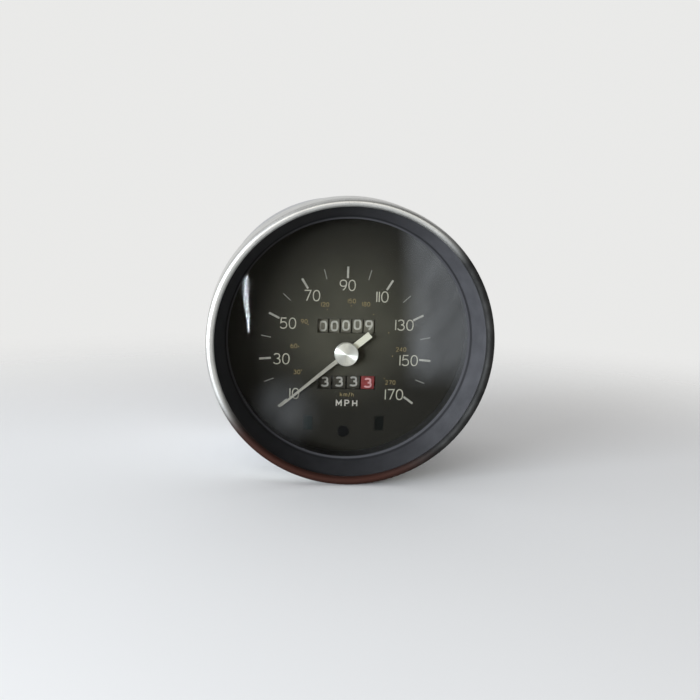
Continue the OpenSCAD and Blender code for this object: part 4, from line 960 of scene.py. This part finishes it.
class SPEEDOMETER_OT_back(Operator):
    """Finish the case and cut the threads of the unions and studs"""
    bl_idname = "speedometer.back"
    bl_label = "Case and back fittings"

    thread_share = 0.61
    run_in = 0.2
    rows_per_pitch = 10
    columns = 96
    crease = radians(40.0)
    cable_pitch = 1.5 * MM
    reset_pitch = 1.0 * MM
    stud_pitch = 0.8 * MM
    bush_clearance = 0.05 * MM
    spindle_bore = 1.55 * MM
    spade_length = 7.0 * MM
    edge_ease = 0.35 * MM
    stud_shoulder = 0.5 * MM
    sheet = 0.8 * MM

    def execute(self, context):
        finish = settings(context, "finish")
        plate = worn("case_zinc_plate", finish.case, 0.40, 1.0, lump=14.0, grain=0.35, spread=0.05,
                     depth=0.0012, stain=0.90, draw=(1.0, 40.0, 1.0))
        screw = worn("back_screw_steel", (0.54, 0.54, 0.52), 0.30, 1.0, lump=2.0)
        spade = MOUNTS["lamp_spades"]["pos_m"][1] - self.spade_length
        holder = holder_plastic("lamp_holder_black", (0.030, 0.030, 0.031), (0.62, 0.58, 0.48), spade)
        tinned = worn("earth_tab_tinned", (0.64, 0.60, 0.50), 0.34, 1.0, lump=3.0)
        union = worn("union_zinc", (0.58, 0.56, 0.50), 0.34, 1.0, lump=4.0, stain=0.74)
        stud = worn("stud_steel", (0.57, 0.57, 0.54), 0.30, 1.0, lump=2.5, stain=0.7, depth=0.003)
        dress(plate, "case")
        dress(screw, "movement_screws")
        dress(holder, "lamp_holders")
        dress(tinned, "earth_tab")
        bush_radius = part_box("rear_bush")[1].x + self.bush_clearance
        self.union("cable", bush_radius, self.cable_pitch, union)
        self.union("reset", self.spindle_bore, self.reset_pitch, union)
        self.studs(stud)
        return {"FINISHED"}

    def threaded(self, radius, start, end, pitch):
        """Profile rows, evenly spread, and thread of a screwed length with a chamfered end."""
        cut = self.thread_share * pitch
        rows = int((end - start) / pitch * self.rows_per_pitch)
        neck = [(radius, depth) for depth in np.linspace(start, end - cut, rows)]
        return neck + [(radius - cut, end)], (radius, start + self.run_in * pitch, end - cut, pitch, cut)

    def union(self, use, bore, pitch, material):
        """Flanged union: a turned profile with a screwed neck outside and a stepped bore inside."""
        node = use + "_union"
        outside = MOUNTS[use + "_thread"]["dims"]
        inside = MOUNTS[use + "_socket"]["dims"]
        low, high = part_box(node)
        centre = ((low.x + high.x) / 2.0, (low.z + high.z) / 2.0)
        radius = outside["r_mm"] * MM
        flange = (high.x - low.x) / 2.0
        flange_back = high.y - outside["length_mm"] * MM
        socket = inside["r_mm"] * MM
        floor = high.y - inside["length_mm"] * MM
        ease = self.edge_ease
        neck, thread = self.threaded(radius, flange_back, high.y, pitch)
        profile = [
            (bore, low.y), (radius, low.y), (radius, CASE_BACK), (flange, CASE_BACK),
            (flange, flange_back - ease), (flange - ease, flange_back), *neck,
            (socket + ease, high.y), (socket, high.y - ease), (socket, floor), (bore, floor), (bore, low.y)]
        points, faces = turned(profile, centre, self.columns, thread)
        piece = add_piece(node + "_screwed", points, faces, HOUSING, material, self.crease)
        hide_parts(node)

    def studs(self, material):
        """Two screwed studs, each with its head inside the case and a shoulder in the sheet."""
        low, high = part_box("mounting_studs")
        dims = MOUNTS["mounting_studs"]["dims"]
        apart = dims["spacing_x_mm"] * MM / 2.0
        radius = dims["stud_r_mm"] * MM
        head = high.x - apart
        shoulder = radius + self.stud_shoulder
        inside = CASE_BACK - self.sheet
        neck, thread = self.threaded(radius, CASE_BACK, high.y, self.stud_pitch)
        profile = [(0.0, low.y), (head, low.y), (head, inside), (shoulder, inside), (shoulder, CASE_BACK),
                   *neck, (0.0, high.y)]
        left, faces = turned(profile, (-apart, 0.0), self.columns // 2, thread)
        right, _ = turned(profile, (apart, 0.0), self.columns // 2, thread)
        both = np.concatenate([faces, faces + len(left)])
        piece = add_piece("mounting_studs_screwed", np.concatenate([left, right]), both, HOUSING,
                          material, self.crease)
        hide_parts("mounting_studs")


class SPEEDOMETER_OT_studio(Operator):
    """Lay the pale floor and set the camera and the lamps"""
    bl_idname = "speedometer.studio"
    bl_label = "Studio"

    floor_reach = 3.0
    floor_rings = 24
    floor_columns = 96
    floor_gap = 0.2 * MM
    floor_middle = (0.0, -0.06, 0.0)
    floor_fade = (0.17, 0.46)
    horizon_fade = (0.14, 0.42)
    key_place = (-0.83, -0.695, 0.100)
    key_size = (0.70, 0.30)
    fill_place = (-0.06, -0.95, 0.26)
    fill_size = (0.60, 0.40)
    panel_distance = 0.11
    panels = (
        ("drop_panel", (-45.5, -42.2), (15.5, 26.2), 200.0),
        ("neck_panel", (-44.2, -42.2), (8.0, 21.0), 220.0),
        ("tail_panel", (-43.0, -41.8), (2.0, 14.0), 210.0))

    def execute(self, context):
        studio = settings(context, "studio")
        context.scene.view_settings.view_transform = "Standard"
        self.lay_floor(studio)
        self.light_sky(context, studio)
        eye = self.set_camera(context, studio)
        self.hang_lamps(studio, eye)
        return {"FINISHED"}

    def lay_floor(self, studio):
        """A round floor under the gauge: points at (radius cos t, radius sin t) and one in the middle."""
        rings = self.floor_rings
        columns = self.floor_columns
        radius = np.linspace(0.0, self.floor_reach, rings + 1)[1:, None]
        turn = np.linspace(0.0, 2.0 * pi, columns, endpoint=False)[None, :]
        level = CAD_BOX[0][2] - self.floor_gap
        grid = np.stack(np.broadcast_arrays(radius * np.cos(turn), radius * np.sin(turn), level), axis=-1)
        points = np.concatenate([grid.reshape(-1, 3), [[0.0, 0.0, level]]])
        inner = np.arange(columns)
        fan = np.stack([inner, (inner + 1) % columns, np.full(columns, len(points) - 1)], axis=-1)
        quads = grid_faces(rings, columns, close_columns=True)
        mesh = bpy.data.meshes.new("studio_floor")
        mesh.from_pydata(points.tolist(), [], quads.tolist() + fan.tolist())
        mesh.materials.append(self.floor_finish(studio))
        floor = add_object("studio_floor", mesh)

    def floor_finish(self, studio):
        """Pale to the eye and in mirrors, dark to the soft light that would bounce back at the gauge, and
        fading out to the backdrop."""
        finish = Finish("floor_pale")
        colour = studio.floor_colour
        finish.skin(finish.shades(finish.noise(0.25, 3.0), (0.3, shade(colour, 0.98)), (0.7, colour)), 0.85)
        bounce = finish.node("BsdfDiffuse", {"Color": (*studio.floor_bounce, 1.0)})[0]
        clear = finish.node("BsdfTransparent", {})[0]
        pale = finish.mixed(finish.seen(), bounce, finish.shader.outputs[0])
        fade = finish.around(*self.floor_fade, self.floor_middle, (1.0, 1.0, 1.0e6))
        return finish.cover(finish.mixed(fade, pale, clear))

    def light_sky(self, context, studio):
        """A soft sky, bright behind and to the left and dim in front and to the right. To the eye and in
        mirrors a pale backdrop runs all round near the horizon and below it."""
        world = bpy.data.worlds.new("studio_sky")
        world.use_nodes = True
        context.scene.world = world
        web = Web(world.node_tree, "Generated")
        side = web.along((-0.5, 0.7, 0.5), -0.35, 0.45)
        sky = web.shades(side, (0.0, studio.sky_dim), (1.0, studio.sky_bright))
        low = web.combined("SUBTRACT", web.seen(), web.along((0.0, 0.0, 1.0), *self.horizon_fade))
        web.feed(web.nodes["Background"].inputs["Color"], web.over(low, sky, studio.horizon))

    def set_camera(self, context, studio):
        """The camera on a sphere about the point looked at, its lens set by the picture's width."""
        aim = Vector((studio.aim_x, BEZEL_FRONT, studio.aim_z))
        flat = cos(studio.elevation)
        way = Vector((sin(studio.azimuth) * flat, -cos(studio.azimuth) * flat, sin(studio.elevation)))
        eye = aim + way * studio.distance
        lens = bpy.data.cameras.new("photo_camera")
        lens.sensor_width = 36.0
        lens.lens = lens.sensor_width * studio.distance / studio.picture_width
        lens.clip_start = 0.01
        camera = add_object("photo_camera", lens)
        right = Vector((0.0, 0.0, 1.0)).cross(way).normalized()
        stand = Matrix((right, way.cross(right), way)).transposed().to_4x4()
        camera.matrix_world = Matrix.Translation(eye) @ stand @ Matrix.Rotation(studio.roll, 4, "Z")
        context.scene.camera = camera
        return eye

    def hang_lamps(self, studio, eye):
        """A wide soft key at the left, a soft fill in front, and three small panels that the glass mirrors
        as a bright drop with a tail, each over a box on it in millimetres."""
        self.lamp("key_lamp", self.key_place, ORIGIN, self.key_size, studio.key_power, studio.key_colour)
        self.lamp(
            "fill_lamp", self.fill_place, ORIGIN, self.fill_size, studio.fill_power, studio.fill_colour)
        glass = bpy.data.collections.new("mirroring_glass")
        glass.objects.link(NODES["glass"])
        for name, across, up, level in self.panels:
            box = (np.array(across) * MM, np.array(up) * MM)
            panel = self.mirrored(name, eye, *box, level, studio.panel_colour)
            panel.light_linking.receiver_collection = glass

    def lamp(self, name, place, aim, size, watts, colour, shape="RECTANGLE"):
        """A flat lamp that looks at a point."""
        light = bpy.data.lights.new(name, "AREA")
        light.shape = shape
        light.size, light.size_y = size
        light.energy = watts
        light.color = colour
        lamp = add_object(name, light)
        facing = (Vector(place) - Vector(aim)).to_track_quat("Z", "Y").to_matrix().to_4x4()
        lamp.matrix_world = Matrix.Translation(place) @ facing
        return lamp

    def mirrored(self, name, eye, across, up, level, colour):
        """A panel of that level whose mirror image covers a box on the glass: a sight line that meets the
        glass at g goes on to g + (g - eye) * distance of the panel / depth of the eye."""
        grow = self.panel_distance / (GLASS_FRONT - eye.y)
        x = across + (across - eye.x) * grow
        z = up + (up - eye.z) * grow
        size = (x[1] - x[0], z[1] - z[0])
        place = Vector((x.mean(), GLASS_FRONT - self.panel_distance, z.mean()))
        watts = level * pi * size[0] * size[1]
        ahead = place + Vector((0.0, 1.0, 0.0))
        panel = self.lamp(name, place, ahead, size, watts, colour, "ELLIPSE")
        panel.visible_diffuse = False
        return panel


class SPEEDOMETER_PT_dress(Panel):
    """Lists the steps of the dress"""
    bl_idname = "SPEEDOMETER_PT_dress"
    bl_label = "Speedometer"
    bl_space_type = "VIEW_3D"
    bl_region_type = "UI"
    bl_category = "Speedometer"

    def draw(self, context):
        for step in STEPS:
            self.layout.operator(step.bl_idname)
        for group in GROUPS:
            box = self.layout.box()
            values = settings(context, group)
            for name in GROUPS[group].__annotations__:
                box.prop(values, name)


GROUPS = {
    "dial": DialSettings, "counters": CounterSettings, "finish": FinishSettings, "studio": StudioSettings}
STEPS = (
    SPEEDOMETER_OT_front_rings, SPEEDOMETER_OT_dial, SPEEDOMETER_OT_pointer, SPEEDOMETER_OT_counters,
    SPEEDOMETER_OT_movement, SPEEDOMETER_OT_back, SPEEDOMETER_OT_studio)
CLASSES = (*GROUPS.values(), *STEPS, SPEEDOMETER_PT_dress)


def register():
    """Registers the classes and hangs the settings on the scene."""
    for kind in CLASSES:
        bpy.utils.register_class(kind)
    for group, kind in GROUPS.items():
        setattr(bpy.types.Scene, "speedometer_" + group, PointerProperty(type=kind))


def unregister():
    """Takes the settings and the classes away again."""
    for group in GROUPS:
        delattr(bpy.types.Scene, "speedometer_" + group)
    for kind in reversed(CLASSES):
        bpy.utils.unregister_class(kind)


def clear_startup():
    """Removes what Blender's own start-up file holds."""
    kept = set(frame["bodies"].values()) | set(NODES.values())
    for thing in [thing for thing in bpy.data.objects if thing not in kept]:
        bpy.data.objects.remove(thing)


def main():
    """Dresses the gauge step by step."""
    clear_startup()
    register()
    bpy.ops.speedometer.front_rings()
    bpy.ops.speedometer.dial()
    bpy.ops.speedometer.pointer()
    bpy.ops.speedometer.counters()
    bpy.ops.speedometer.movement()
    bpy.ops.speedometer.back()
    bpy.ops.speedometer.studio()


if __name__ == "__main__":
    main()
